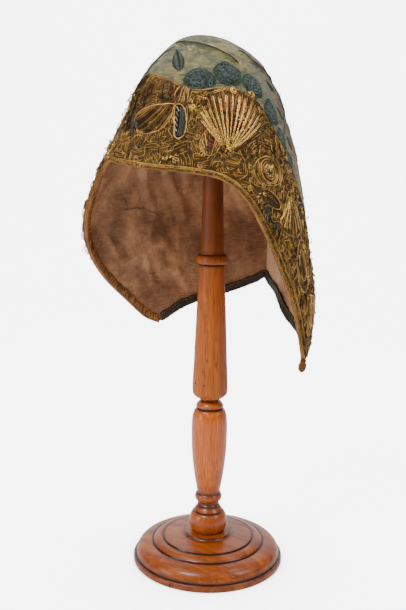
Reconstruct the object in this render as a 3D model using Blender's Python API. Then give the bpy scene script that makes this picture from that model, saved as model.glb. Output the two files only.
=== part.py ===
# Embroidered coif on its plain turned-wood stand.
# Metres, +Z up. The face opening looks towards -Y, the stand's axis is Z and its foot stands on Z = 0.
# The coif is one surface in polar form: an angle round the stand's axis, 0 at the front and growing
# towards +X, and a level counted down from the crown. Silk, lining, lace and bindings are offsets of it.

import math

import bmesh
import bpy
import numpy as np
from mathutils import Matrix, Vector
from mathutils.bvhtree import BVHTree

# Cloth, millimetres
MM = 0.001
GAP = 0.3
SILK = 1.0
LINING = 1.0
LACE = 1.3
BINDING = 1.0
BINDING_LEG = 6.0
BINDING_END = 0.045
LEG_SHORT = 0.9
CREASE_HALF_ANGLE = math.radians(28)
KNOB_RADIUS = 3.1
KNOB_HALF_LENGTH = 5.0

# Mesh of the cloth
FACE_SPANS = 38
NAPE_SPANS = 22
CROWN_ROWS = 6
BAND_ROWS = 5
LACE_PAST_CORNER = 4
TURNED_STEPS = 32

# Sections of the coif from the crown down: height, how far back the centre lies, the depth of the
# centre-back crease, then the radius every 45 degrees from the front towards +X.
SECTIONS = [
    # height, centre, crease, front, front +X, +X, back +X, back, back -X, -X, front -X
    (441, -18, 0, 0, 0, 0, 0, 0, 0, 0, 0),
    (437, -13, 0, 26, 22, 18, 20, 23, 20, 17, 21),
    (424, -4, 0, 52, 43, 35, 36, 43, 37, 34, 42),
    (403, 0, 0, 70, 61, 48, 49, 57, 50, 49, 60),
    (380, 0, 1, 79, 72, 57, 58, 67, 59, 57, 70),
    (353, 0, 5, 86, 84, 66, 66, 76, 67, 66, 84),
    (326, 0, 9, 90, 94, 73, 72, 80, 73, 75, 97),
    (302, 0, 12, 92, 100, 78, 75, 83, 77, 80, 107),
    (277, 0, 14, 92, 104, 82, 77, 84, 78, 80, 109),
    (243, 0, 15, 92, 104, 90, 73, 82, 73, 78, 104),
    (215, 0, 15, 90, 100, 90, 62, 80, 65, 74, 99),
    (199, 0, 15, 89, 97, 88, 50, 78, 62, 73, 96),
    (183, 0, 15, 88, 94, 85, 38, 76, 60, 72, 93),
]

# The cut edges, and the top of the lace above each: angle in degrees and height of the edge, then of
# the lace's top. The face edge runs from the -X corner over the forehead to the +X corner.
FACE_EDGE = [
    # edge angle, edge height, lace angle, lace height
    (-104, 202, -124, 250),
    (-93, 209, -114, 264),
    (-81, 225, -105, 284),
    (-67, 248, -95, 308),
    (-59, 270, -88, 327),
    (-55, 295, -81, 344),
    (-53, 315, -74, 361),
    (-47, 334, -60, 385),
    (-35, 346, -40, 401),
    (-20, 345, -20, 410),
    (0, 342, 0, 406),
    (20, 340, 20, 397),
    (36, 335, 38, 399),
    (46, 322, 58, 392),
    (54, 300, 72, 372),
    (61, 277, 86, 346),
    (69, 250, 99, 315),
    (76.5, 222, 108, 293),
    (82.5, 204, 112, 276),
    (89, 193, 115, 263),
]
# The nape edge runs from the +X corner round the back to the -X corner.
NAPE_EDGE = [
    # edge angle, edge height, lace angle, lace height
    (89, 193, 115, 263),
    (95, 199, 120, 255),
    (107, 207, 128, 250),
    (122, 214, 138, 249),
    (138, 221, 150, 262),
    (160, 229, 165, 282),
    (180, 239, 180, 290),
    (200, 226, 195, 282),
    (223, 219, 211, 262),
    (238, 213, 222, 249),
    (248, 207, 230, 246),
    (256, 202, 236, 250),
]

# Turned profiles of the stand, millimetres, from the foot up.
BASE_PROFILE = [
    # radius, height
    (0, 0),
    (63.4, 0),
    (64.3, 0.9),
    (64.3, 4.8),
    (63.6, 5.5),
    (61.8, 5.7),
    (61.6, 7.2),
    (60.2, 10.2),
    (57.2, 12.6),
    (53, 14.3),
    (48.6, 15.2),
    (46.9, 14.9),
    (46.2, 16.4),
    (43.4, 18.4),
    (40.4, 19.2),
    (38.2, 18.9),
    (37.6, 20.6),
    (30, 21.4),
    (22.5, 23),
    (17.6, 25.85),
    (0, 25.85),
]
BALUSTER_PROFILE = [
    # radius, height
    (0, 26.15),
    (12.2, 26.15),
    (15, 30.5),
    (15.8, 36),
    (14.8, 40.6),
    (11.2, 44.2),
    (10.3, 45.2),
    (7.6, 49),
    (7.2, 52),
    (9.6, 54.2),
    (11.5, 57),
    (10, 60.2),
    (9.5, 63),
    (10.6, 82),
    (13, 101),
    (15, 116),
    (14.2, 127),
    (11.6, 136),
    (11.4, 140),
    (8.6, 143),
    (7.6, 145.85),
    (0, 145.85),
]
POST_PROFILE = [
    # radius, height
    (0, 146.15),
    (7.6, 146.15),
    (11, 148.4),
    (13.9, 151.4),
    (14.3, 161),
    (12.3, 203),
    (10.5, 243),
    (10.4, 260),
    (12.4, 262.6),
    (13.2, 266.5),
    (12.4, 270.4),
    (9.8, 273),
    (8.3, 330),
]
# The post's rounded head, heights from the underside of the head.
HEAD_PROFILE = [
    # radius, height
    (7.4, 0),
    (13, 4),
    (23, 8.5),
    (26, 13),
    (24.4, 19),
    (17.6, 24.6),
    (9, 27.6),
    (0, 28.5),
]

COLOURS = {
    # name: red, green, blue, roughness
    "coif_silk": (0.27, 0.27, 0.17, 0.75),
    "coif_lining": (0.33, 0.2, 0.15, 0.85),
    "lace_band": (0.36, 0.22, 0.08, 0.45),
    "face_binding": (0.36, 0.19, 0.08, 0.7),
    "nape_binding": (0.04, 0.05, 0.035, 0.8),
    "binding_knob": (0.3, 0.16, 0.07, 0.7),
    "stand_base": (0.42, 0.13, 0.035, 0.3),
    "stand_baluster": (0.45, 0.15, 0.04, 0.3),
    "stand_post": (0.52, 0.24, 0.1, 0.5),
}

HEIGHT, CENTRE, CREASE = (np.array([row[k] for row in SECTIONS], float) for k in range(3))
RADII = np.array([row[3:] for row in SECTIONS], float)
LAST = len(SECTIONS) - 1


def catmull(before, start, end, after, t):
    """Smooth curve from start to end that also fits the points before and after them."""
    bend = 2 * before - 5 * start + 4 * end - after
    return 0.5 * (2 * start + (end - before) * t + bend * t**2 + (3 * (start - end) + after - before) * t**3)


def radii_at(angle):
    """The radius of every section at these angles, with the crease pressed outwards at the centre back."""
    place = np.mod(angle, 2 * math.pi) / (math.pi / 4)
    first = np.floor(place).astype(int)
    near = [RADII[:, (first + step) % 8] for step in (-1, 0, 1, 2)]
    from_back = np.abs(np.mod(angle, 2 * math.pi) - math.pi)
    crease = np.clip(1 - from_back / CREASE_HALF_ANGLE, 0, 1) ** 1.6
    return catmull(*near, place - first) + CREASE[:, None] * crease


def along_levels(level, rows, above_crown):
    """Values between the sections. Above the crown the rows run on, turned over where above_crown is -1."""
    first = np.clip(np.floor(level).astype(int), 0, LAST - 1)
    column = np.arange(rows.shape[1])
    before = np.where(first == 0, above_crown * rows[1, column], rows[np.abs(first - 1), column])
    past_end = 2 * rows[LAST, column] - rows[LAST - 1, column]
    after = np.where(first + 2 > LAST, past_end, rows[np.minimum(first + 2, LAST), column])
    return catmull(before, rows[first, column], rows[first + 1, column], after, level - first)


def surface(angle, level):
    """Points of the coif's surface, millimetres."""
    angle, level = np.broadcast_arrays(np.asarray(angle, float), np.asarray(level, float))
    flat_angle, flat_level = angle.ravel(), level.ravel()
    many = np.ones(flat_angle.size)
    radius = along_levels(flat_level, radii_at(flat_angle), -1)
    height = along_levels(flat_level, HEIGHT[:, None] * many, 1)
    centre = along_levels(flat_level, CENTRE[:, None] * many, 1)
    points = (radius * np.sin(flat_angle), centre - radius * np.cos(flat_angle), height)
    return np.stack(points, axis=-1).reshape(angle.shape + (3,))


def level_at(height):
    """The level of the surface at a height."""
    levels = np.linspace(0, LAST, 1601)
    return np.interp(-np.asarray(height, float), -surface(0, levels)[:, 2], levels)


def resample(table, spans):
    """The table's rows joined by smooth curves and taken again at equal steps of length of the edge."""
    rows = np.array(table, float)
    rows = np.vstack([2 * rows[0] - rows[1], rows, 2 * rows[-1] - rows[-2]])
    steps = np.arange(20)[:, None] / 20
    fine = [catmull(rows[k], rows[k + 1], rows[k + 2], rows[k + 3], steps) for k in range(len(rows) - 3)]
    fine = np.vstack(fine + [rows[-2]])
    edge = surface(np.radians(fine[:, 0]), level_at(fine[:, 1]))
    length = np.concatenate([[0], np.cumsum(np.linalg.norm(np.diff(edge, axis=0), axis=1))])
    wanted = np.linspace(0, length[-1], spans + 1)
    return np.stack([np.interp(wanted, length, column) for column in fine.T], axis=1)


def set_in(angle, level, distance):
    """Angle and level of the points this far in from the edge, square to it along the surface."""
    edge = surface(angle, level)
    along = np.roll(edge, -1, axis=0) - np.roll(edge, 1, axis=0)
    for _ in range(3):
        point = surface(angle, level)
        by_angle = (surface(angle + 1e-4, level) - point) / 1e-4
        by_level = (surface(angle, level - 1e-4) - point) / 1e-4
        inward = np.cross(along, np.cross(by_level, by_angle))
        inward *= distance / 3 / np.linalg.norm(inward, axis=1, keepdims=True)
        inward *= np.sign((inward * by_level).sum(axis=1, keepdims=True))
        for k in range(len(angle)):
            both = np.stack([by_angle[k], by_level[k]], axis=1)
            step = np.linalg.lstsq(both, inward[k], rcond=None)[0]
            angle, level = angle.copy(), level.copy()
            angle[k] += step[0]
            level[k] -= step[1]
    return angle, level


def cloth_grid():
    """Points [row, column] below the crown point. Column 0 ends on the -X corner, column FACE_SPANS on the
    +X corner. The lace's top is row CROWN_ROWS, the bindings' legs end on the last row but one."""
    loop = np.vstack([resample(FACE_EDGE, FACE_SPANS)[:-1], resample(NAPE_EDGE, NAPE_SPANS)[:-1]])
    edge_angle, lace_angle = np.radians(loop[:, 0]), np.radians(loop[:, 2])
    edge_level, lace_level = level_at(loop[:, 1]), level_at(loop[:, 3])
    leg_angle, leg_level = set_in(edge_angle, edge_level, BINDING_LEG)
    rows = [(lace_angle, lace_level * k / CROWN_ROWS) for k in range(1, CROWN_ROWS + 1)]
    for k in range(1, BAND_ROWS + 1):
        part = k / BAND_ROWS
        angle = lace_angle + (leg_angle - lace_angle) * part
        rows.append((angle, lace_level + (leg_level - lace_level) * part))
    rows.append((edge_angle, edge_level))
    return np.array([surface(angle, level) for angle, level in rows])


def grid_triangles(columns, rows, around, start):
    """Triangles, seen from outside, of the strips between these columns, each over its own rows."""
    faces = []
    for column, (first, last) in zip(columns, rows):
        beside = (column + 1) % around
        for row in range(first, last):
            a, b = start + row * around + column, start + (row + 1) * around + column
            c, d = start + (row + 1) * around + beside, start + row * around + beside
            faces += [(a, b, c), (a, c, d)]
    return faces


def offsets(points, faces):
    """The vector at each point that moves every face next to it outwards by one millimetre."""
    mesh = bpy.data.meshes.new("frame")
    mesh.from_pydata([tuple(p) for p in points], [], faces)
    build = bmesh.new()
    build.from_mesh(mesh)
    build.normal_update()
    found = np.array([list(v.normal * v.calc_shell_factor()) for v in build.verts])
    build.free()
    bpy.data.meshes.remove(mesh)
    return found


def add_object(name, points, faces, edges=()):
    """An object from points in millimetres, with the material of its own name."""
    mesh = bpy.data.meshes.new(name)
    mesh.from_pydata([tuple(p) for p in np.asarray(points) * MM], list(edges), faces)
    build = bmesh.new()
    build.from_mesh(mesh)
    loose = [v for v in build.verts if not v.link_edges]
    bmesh.ops.delete(build, geom=loose, context="VERTS")
    build.to_mesh(mesh)
    build.free()
    mesh.shade_smooth()
    red, green, blue, roughness = COLOURS[name]
    material = bpy.data.materials.new(name)
    material.use_nodes = True
    shader = material.node_tree.nodes["Principled BSDF"]
    shader.inputs["Base Color"].default_value = (red, green, blue, 1)
    shader.inputs["Roughness"].default_value = roughness
    mesh.materials.append(material)
    obj = bpy.data.objects.new(name, mesh)
    bpy.context.scene.collection.objects.link(obj)
    return obj


def thicken(obj, thickness, side):
    """Gives a sheet its thickness, outwards where side is 1 and inwards where it is -1."""
    shell = obj.modifiers.new("thickness", "SOLIDIFY")
    shell.thickness = thickness * MM
    shell.offset = side
    shell.use_even_offset = True


def add_binding(name, grid, lift, first, last, section):
    """A tape round the edge from column first to column last. Each corner of its section is a pair: how far
    past the edge, in millimetres, or back along the leg where it is negative, and how far off the surface."""
    around = grid.shape[1]
    edge, leg = grid[-1], grid[-2]
    out = (edge - leg) / np.linalg.norm(edge - leg, axis=1, keepdims=True)
    columns = [first + BINDING_END, *range(first + 1, last), last - BINDING_END]
    rings = []
    for column in columns:
        lower = int(math.floor(column))
        ring = []
        for reach, off in section:
            at = []
            for k in (lower % around, (lower + 1) % around):
                back = max(0.0, -reach)
                on = edge[k] + (leg[k] - edge[k]) * back + out[k] * max(0.0, reach)
                at.append(on + off * (lift[-1, k] + (lift[-2, k] - lift[-1, k]) * back))
            ring.append(at[0] + (at[1] - at[0]) * (column - lower))
        rings.append(ring)
    size = len(section)
    faces = [tuple(range(size)), tuple(reversed(range((len(rings) - 1) * size, len(rings) * size)))]
    for k in range(len(rings) - 1):
        for corner in range(size):
            beyond = (corner + 1) % size
            a, b = k * size + corner, k * size + beyond
            if section[corner][0] > section[beyond][0]:
                faces += [(a, a + size, b), (b, a + size, b + size)]
            else:
                faces += [(a, a + size, b + size), (a, b + size, b)]
    obj = add_object(name, [p for ring in rings for p in ring], faces)
    build = bmesh.new()
    build.from_mesh(obj.data)
    bmesh.ops.recalc_face_normals(build, faces=build.faces)
    build.to_mesh(obj.data)
    build.free()
    return obj


def add_knob(grid):
    """The rolled end of the binding, hanging off the +X corner."""
    corner, above = grid[-1, FACE_SPANS], grid[-2, FACE_SPANS]
    down = Vector(corner - above).normalized()
    centre = Vector(corner) + down * (BINDING + GAP / 2 + KNOB_HALF_LENGTH)
    build = bmesh.new()
    bmesh.ops.create_uvsphere(build, u_segments=16, v_segments=9, radius=1)
    bmesh.ops.scale(build, vec=(KNOB_RADIUS, KNOB_RADIUS, KNOB_HALF_LENGTH), verts=build.verts)
    turn = down.to_track_quat("Z", "Y").to_matrix().to_4x4()
    bmesh.ops.transform(build, matrix=Matrix.Translation(centre) @ turn, verts=build.verts)
    points = [tuple(v.co) for v in build.verts]
    faces = [tuple(v.index for v in f.verts) for f in build.faces]
    build.free()
    add_object("binding_knob", points, faces)


def add_turned(name, profile):
    """A turned solid from its profile, listed from the foot up."""
    points = [(radius, 0, height) for radius, height in profile]
    obj = add_object(name, points, [], [(k, k + 1) for k in range(len(points) - 1)])
    turn = obj.modifiers.new("turned", "SCREW")
    turn.axis = "Z"
    turn.steps = turn.render_steps = TURNED_STEPS
    turn.use_merge_vertices = True
    turn.merge_threshold = 0.00005
    turn.use_smooth_shade = True
    turn.use_normal_flip = True
    return obj


def head_height(inner_faces, inner_points):
    """How high the post's head goes so that it sits one gap below the lining."""
    tree = BVHTree.FromPolygons([tuple(p) for p in inner_points], inner_faces)
    ring = np.linspace(0, 2 * math.pi, TURNED_STEPS, endpoint=False)
    low, high = 330.0, 430.0
    for _ in range(30):
        middle = (low + high) / 2
        nearest = 1e9
        for radius, height in HEAD_PROFILE:
            for angle in ring:
                at = Vector((radius * math.cos(angle), radius * math.sin(angle), middle + height))
                hit, normal, _, distance = tree.find_nearest(at)
                inside = (at - hit).dot(normal) < 0
                nearest = min(nearest, distance if inside else -distance)
        low, high = (middle, high) if nearest > GAP + 0.05 else (low, middle)
    return low


def main():
    for obj in list(bpy.data.objects):
        bpy.data.objects.remove(obj, do_unlink=True)

    grid = cloth_grid()
    rows, around = grid.shape[:2]
    points = np.vstack([surface(0, 0)[None, :], grid.reshape(-1, 3)])
    crown = [(0, 1 + column, 1 + (column + 1) % around) for column in range(around)]
    every = range(around)
    faces = crown + grid_triangles(every, [(0, rows - 1)] * around, around, 1)
    lift = offsets(points, faces)

    thicken(add_object("coif_silk", points, faces), SILK, 1)
    inner = points - GAP * lift
    thicken(add_object("coif_lining", inner, faces), LINING, -1)

    first, last = -LACE_PAST_CORNER, FACE_SPANS + LACE_PAST_CORNER
    columns = [column % around for column in range(first, last)]
    over = [(CROWN_ROWS - 1, rows - 1 if 0 <= c < FACE_SPANS else rows - 2) for c in range(first, last)]
    lace = grid_triangles(columns, over, around, 1)
    thicken(add_object("lace_band", points + (SILK + GAP) * lift, lace), LACE, 1)

    edge_lift = lift[1:].reshape(grid.shape)
    in_top = -(GAP + LINING + GAP)
    in_low = in_top - BINDING
    web = GAP + BINDING
    face = [(-1, in_top), (GAP, in_top), (GAP, SILK), (web, SILK), (web, in_low), (-1, in_low)]
    add_binding("face_binding", grid, edge_lift, 0, FACE_SPANS, face)
    out_low = SILK + GAP
    out_top = out_low + BINDING
    nape = [(-1, in_top), (GAP, in_top), (GAP, out_low), (-LEG_SHORT, out_low), (-LEG_SHORT, out_top)]
    nape += [(web, out_top), (web, in_low), (-1, in_low)]
    add_binding("nape_binding", grid, edge_lift, FACE_SPANS, around, nape)
    add_knob(grid)

    add_turned("stand_base", BASE_PROFILE)
    add_turned("stand_baluster", BALUSTER_PROFILE)
    base = head_height(faces, points - (GAP + LINING) * lift)
    head = [(radius, base + height) for radius, height in HEAD_PROFILE]
    add_turned("stand_post", POST_PROFILE + head)


main()
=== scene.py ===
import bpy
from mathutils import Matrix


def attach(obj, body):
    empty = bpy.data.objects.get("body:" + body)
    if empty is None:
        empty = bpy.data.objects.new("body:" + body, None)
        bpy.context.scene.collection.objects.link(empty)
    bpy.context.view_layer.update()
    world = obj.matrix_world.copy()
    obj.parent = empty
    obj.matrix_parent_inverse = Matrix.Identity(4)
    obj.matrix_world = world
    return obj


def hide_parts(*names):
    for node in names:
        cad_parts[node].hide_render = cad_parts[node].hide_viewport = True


bl_info = {
    "name": "Embroidered coif on a wood stand",
    "version": (1, 0, 0),
    "blender": (4, 5, 0),
    "location": "View3D > Sidebar > Coif",
    "description": "Silk coif with metal-thread lace, linen lining and bound edges, on a turned stand",
    "category": "Object",
}

import math

import bmesh
import bpy
import numpy as np
from bpy.props import FloatProperty, FloatVectorProperty, IntProperty, PointerProperty
from mathutils import Matrix, Vector, kdtree

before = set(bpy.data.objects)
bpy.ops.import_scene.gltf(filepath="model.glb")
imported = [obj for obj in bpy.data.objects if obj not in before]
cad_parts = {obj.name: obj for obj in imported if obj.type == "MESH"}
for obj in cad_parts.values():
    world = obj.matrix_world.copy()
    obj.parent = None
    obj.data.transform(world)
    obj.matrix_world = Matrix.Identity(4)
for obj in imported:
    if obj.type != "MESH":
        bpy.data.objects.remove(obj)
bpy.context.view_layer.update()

MM = 0.001
TAU = 2 * math.pi

# The coif's surface, millimetres

# Sections from the crown down: height, how far back the centre lies, the depth of the centre-back
# crease, then the radius every 45 degrees from the front towards +X.
SECTIONS = [
    (441, -18, 0, 0, 0, 0, 0, 0, 0, 0, 0),
    (437, -13, 0, 26, 22, 18, 20, 23, 20, 17, 21),
    (424, -4, 0, 52, 43, 35, 36, 43, 37, 34, 42),
    (403, 0, 0, 70, 61, 48, 49, 57, 50, 49, 60),
    (380, 0, 1, 79, 72, 57, 58, 67, 59, 57, 70),
    (353, 0, 5, 86, 84, 66, 66, 76, 67, 66, 84),
    (326, 0, 9, 90, 94, 73, 72, 80, 73, 75, 97),
    (302, 0, 12, 92, 100, 78, 75, 83, 77, 80, 107),
    (277, 0, 14, 92, 104, 82, 77, 84, 78, 80, 109),
    (243, 0, 15, 92, 104, 90, 73, 82, 73, 78, 104),
    (215, 0, 15, 90, 100, 90, 62, 80, 65, 74, 99),
    (199, 0, 15, 89, 97, 88, 50, 78, 62, 73, 96),
    (183, 0, 15, 88, 94, 85, 38, 76, 60, 72, 93),
]
CREASE_HALF_ANGLE = math.radians(28)

# The cut edges: angle and height of the edge, then of the lace's top above it.
FACE_EDGE = [
    (-104, 202, -124, 250),
    (-93, 209, -114, 264),
    (-81, 225, -105, 284),
    (-67, 248, -95, 308),
    (-59, 270, -88, 327),
    (-55, 295, -81, 344),
    (-53, 315, -74, 361),
    (-47, 334, -60, 385),
    (-35, 346, -40, 401),
    (-20, 345, -20, 410),
    (0, 342, 0, 406),
    (20, 340, 20, 397),
    (36, 335, 38, 399),
    (46, 322, 58, 392),
    (54, 300, 72, 372),
    (61, 277, 86, 346),
    (69, 250, 99, 315),
    (76.5, 222, 108, 293),
    (82.5, 204, 112, 276),
    (89, 193, 115, 263),
]
NAPE_EDGE = [
    (89, 193, 115, 263),
    (95, 199, 120, 255),
    (107, 207, 128, 250),
    (122, 214, 138, 249),
    (138, 221, 150, 262),
    (160, 228, 165, 282),
    (174, 234, 175, 288),
    (180, 240, 180, 290),
    (186, 234.5, 185, 288),
    (200, 226.5, 195, 282),
    (223, 219, 211, 262),
    (238, 213, 222, 249),
    (248, 207, 230, 246),
    (256, 202, 236, 250),
]
# Where the lace stops at the sides of the nape: from its top to the nape edge, angle and height.
LACE_ENDS = {"right": ((137, 249), (121, 214)), "left": ((223, 249), (239, 213))}

HEIGHT, CENTRE, CREASE = (np.array([row[k] for row in SECTIONS], float) for k in range(3))
RADII = np.array([row[3:] for row in SECTIONS], float)
LAST = len(SECTIONS) - 1


def catmull(before, start, end, after, t):
    """Smooth curve from start to end that also fits the points before and after them."""
    bend = 2 * before - 5 * start + 4 * end - after
    return 0.5 * (2 * start + (end - before) * t + bend * t**2 + (3 * (start - end) + after - before) * t**3)


def radii_at(angle):
    """The radius of every section at these angles, with the centre-back crease."""
    place = np.mod(angle, TAU) / (math.pi / 4)
    first = np.floor(place).astype(int)
    near = [RADII[:, (first + step) % 8] for step in (-1, 0, 1, 2)]
    from_back = np.abs(np.mod(angle, TAU) - math.pi)
    crease = np.clip(1 - from_back / CREASE_HALF_ANGLE, 0, 1) ** 1.6
    return catmull(*near, place - first) + CREASE[:, None] * crease


def along_levels(level, rows, above_crown):
    """Values between the sections; above the crown the rows run on, turned over where above_crown is -1."""
    first = np.clip(np.floor(level).astype(int), 0, LAST - 1)
    column = np.arange(rows.shape[1])
    before = np.where(first == 0, above_crown * rows[1, column], rows[np.abs(first - 1), column])
    past_end = 2 * rows[LAST, column] - rows[LAST - 1, column]
    after = np.where(first + 2 > LAST, past_end, rows[np.minimum(first + 2, LAST), column])
    return catmull(before, rows[first, column], rows[first + 1, column], after, level - first)


def surface(angle, level):
    """Points of the coif's surface."""
    angle, level = np.broadcast_arrays(np.asarray(angle, float), np.asarray(level, float))
    flat_angle, flat_level = angle.ravel(), level.ravel()
    many = np.ones(flat_angle.size)
    radius = along_levels(flat_level, radii_at(flat_angle), -1)
    height = along_levels(flat_level, HEIGHT[:, None] * many, 1)
    centre = along_levels(flat_level, CENTRE[:, None] * many, 1)
    points = (radius * np.sin(flat_angle), centre - radius * np.cos(flat_angle), height)
    return np.stack(points, axis=-1).reshape(angle.shape + (3,))


def slopes(angle, level):
    """Points, how they move with the angle and with the level, and the outward unit normals."""
    point = surface(angle, level)
    by_angle = (surface(angle + 1e-4, level) - point) / 1e-4
    low = np.maximum(np.asarray(level, float), 0.02)
    by_level = (surface(angle, low + 1e-4) - surface(angle, low)) / 1e-4
    normal = np.cross(by_level, by_angle)
    normal /= np.linalg.norm(normal, axis=-1, keepdims=True)
    return point, by_angle, by_level, normal


LEVELS = np.linspace(0, LAST, 1601)
LEVEL_HEIGHTS = surface(0, LEVELS)[:, 2]
LEVEL_CENTRES = along_levels(LEVELS, CENTRE[:, None] * np.ones(len(LEVELS)), 1)


def level_at(height):
    """The level of the surface at a height."""
    return np.interp(-np.asarray(height, float), -LEVEL_HEIGHTS, LEVELS)


def smooth_rows(table, per_span=20):
    """The table's rows joined by smooth curves."""
    rows = np.array(table, float)
    rows = np.vstack([2 * rows[0] - rows[1], rows, 2 * rows[-1] - rows[-2]])
    steps = np.arange(per_span)[:, None] / per_span
    fine = [catmull(rows[k], rows[k + 1], rows[k + 2], rows[k + 3], steps) for k in range(len(rows) - 3)]
    return np.vstack(fine + [rows[-2]])


def by_length(rows, points, spans):
    """The rows taken again at equal steps of the length of the line through the points."""
    length = np.concatenate([[0], np.cumsum(np.linalg.norm(np.diff(points, axis=0), axis=1))])
    wanted = np.linspace(0, length[-1], spans + 1)
    return np.stack([np.interp(wanted, length, column) for column in rows.T], axis=1)


def edge_rows(table, spans):
    """The rows of an edge's table, smoothed and set at equal steps along the edge."""
    fine = smooth_rows(table)
    return by_length(fine, surface(np.radians(fine[:, 0]), level_at(fine[:, 1])), spans)


# Rim of the cloth as a function of the angle

RIM = np.vstack([smooth_rows(FACE_EDGE, 40), smooth_rows(NAPE_EDGE, 40)[1:]])
EDGE_ANGLE, EDGE_LEVEL = np.radians(RIM[:, 0]), level_at(RIM[:, 1])
TOP_ANGLE, TOP_LEVEL = np.radians(RIM[:, 2]), level_at(RIM[:, 3])


def edge_level(angle):
    """The level of the cut edge at these angles."""
    wrapped = np.mod(np.asarray(angle) - EDGE_ANGLE[0], TAU) + EDGE_ANGLE[0]
    return np.interp(wrapped, EDGE_ANGLE, EDGE_LEVEL)


def top_level(angle):
    """The level of the lace's top at these angles."""
    wrapped = np.mod(np.asarray(angle) - TOP_ANGLE[0], TAU) + TOP_ANGLE[0]
    return np.interp(wrapped, TOP_ANGLE, TOP_LEVEL)


def in_lace(angle, level):
    """True where the lace lies over the silk."""
    angle = np.mod(np.asarray(angle, float), TAU)
    height = surface(np.zeros_like(level), level)[..., 2]
    (a, ah), (b, bh) = LACE_ENDS["right"]
    right_end = np.radians(np.interp(height, [bh, ah], [b, a]))
    (a, ah), (b, bh) = LACE_ENDS["left"]
    left_end = np.radians(np.interp(height, [bh, ah], [b, a]))
    held = (angle < right_end) | (angle > left_end)
    return held & (level > top_level(angle)) & (level < edge_level(angle))


def point_tree(points):
    """A search tree that finds the nearest of the points."""
    tree = kdtree.KDTree(len(points))
    for k, p in enumerate(points):
        tree.insert(p, k)
    tree.balance()
    return tree


# The rim as one loop of points about 1.3 mm apart: the face edge comes first, then the nape edge.
FACE_COUNT, NAPE_COUNT = 380, 220
LOOP = np.vstack([edge_rows(FACE_EDGE, FACE_COUNT)[:-1], edge_rows(NAPE_EDGE, NAPE_COUNT)[:-1]])
LOOP_ANGLE, LOOP_LEVEL = np.radians(LOOP[:, 0]), level_at(LOOP[:, 1])
LOOP_TOP_ANGLE, LOOP_TOP_LEVEL = np.radians(LOOP[:, 2]), level_at(LOOP[:, 3])


# Small helpers for meshes


def make_object(name, points, faces, material, uvs=None, tones=None):
    """An object from points in millimetres. uvs holds one pair and tones one number for each point."""
    mesh = bpy.data.meshes.new(name)
    points = np.asarray(points, np.float64) * MM
    mesh.from_pydata(points.tolist(), [], faces if isinstance(faces, list) else faces.tolist())
    corner = np.empty(len(mesh.loops), np.int32)
    mesh.loops.foreach_get("vertex_index", corner)
    if uvs is not None:
        layer = mesh.uv_layers.new(name="thread")
        layer.data.foreach_set("uv", np.asarray(uvs, np.float32)[corner].ravel())
    if tones is not None:
        tone = mesh.attributes.new("tone", "FLOAT", "POINT")
        tone.data.foreach_set("value", np.asarray(tones, np.float32))
    mesh.shade_smooth()
    mesh.materials.append(material)
    obj = bpy.data.objects.new(name, mesh)
    bpy.context.scene.collection.objects.link(obj)
    return obj


def unit(ways):
    """The same ways with a length of 1."""
    return ways / np.maximum(np.linalg.norm(ways, axis=-1, keepdims=True), 1e-9)


def settings():
    """The values of the panel."""
    return bpy.context.scene.coif


def finish_piece(obj, slot, *nodes):
    """Says which body a piece rides on and hides the nodes of the part that it stands for; its slot is not
    used.
    """
    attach(obj, "root")
    if nodes:
        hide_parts(*nodes)
    return obj


def wave_noise(points, size, seed):
    """Smooth repeatable noise from -1 to 1 over points in millimetres, with lumps of this size."""
    rng = np.random.default_rng(seed)
    total = np.zeros(points.shape[:-1])
    for octave in range(3):
        for _ in range(4):
            way = rng.normal(size=3)
            way /= np.linalg.norm(way)
            turn = points @ way * TAU / (size * 1.6) * 1.7**octave
            total += np.sin(turn + rng.uniform(0, TAU)) / 1.9**octave
    return total / 3.6


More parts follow.
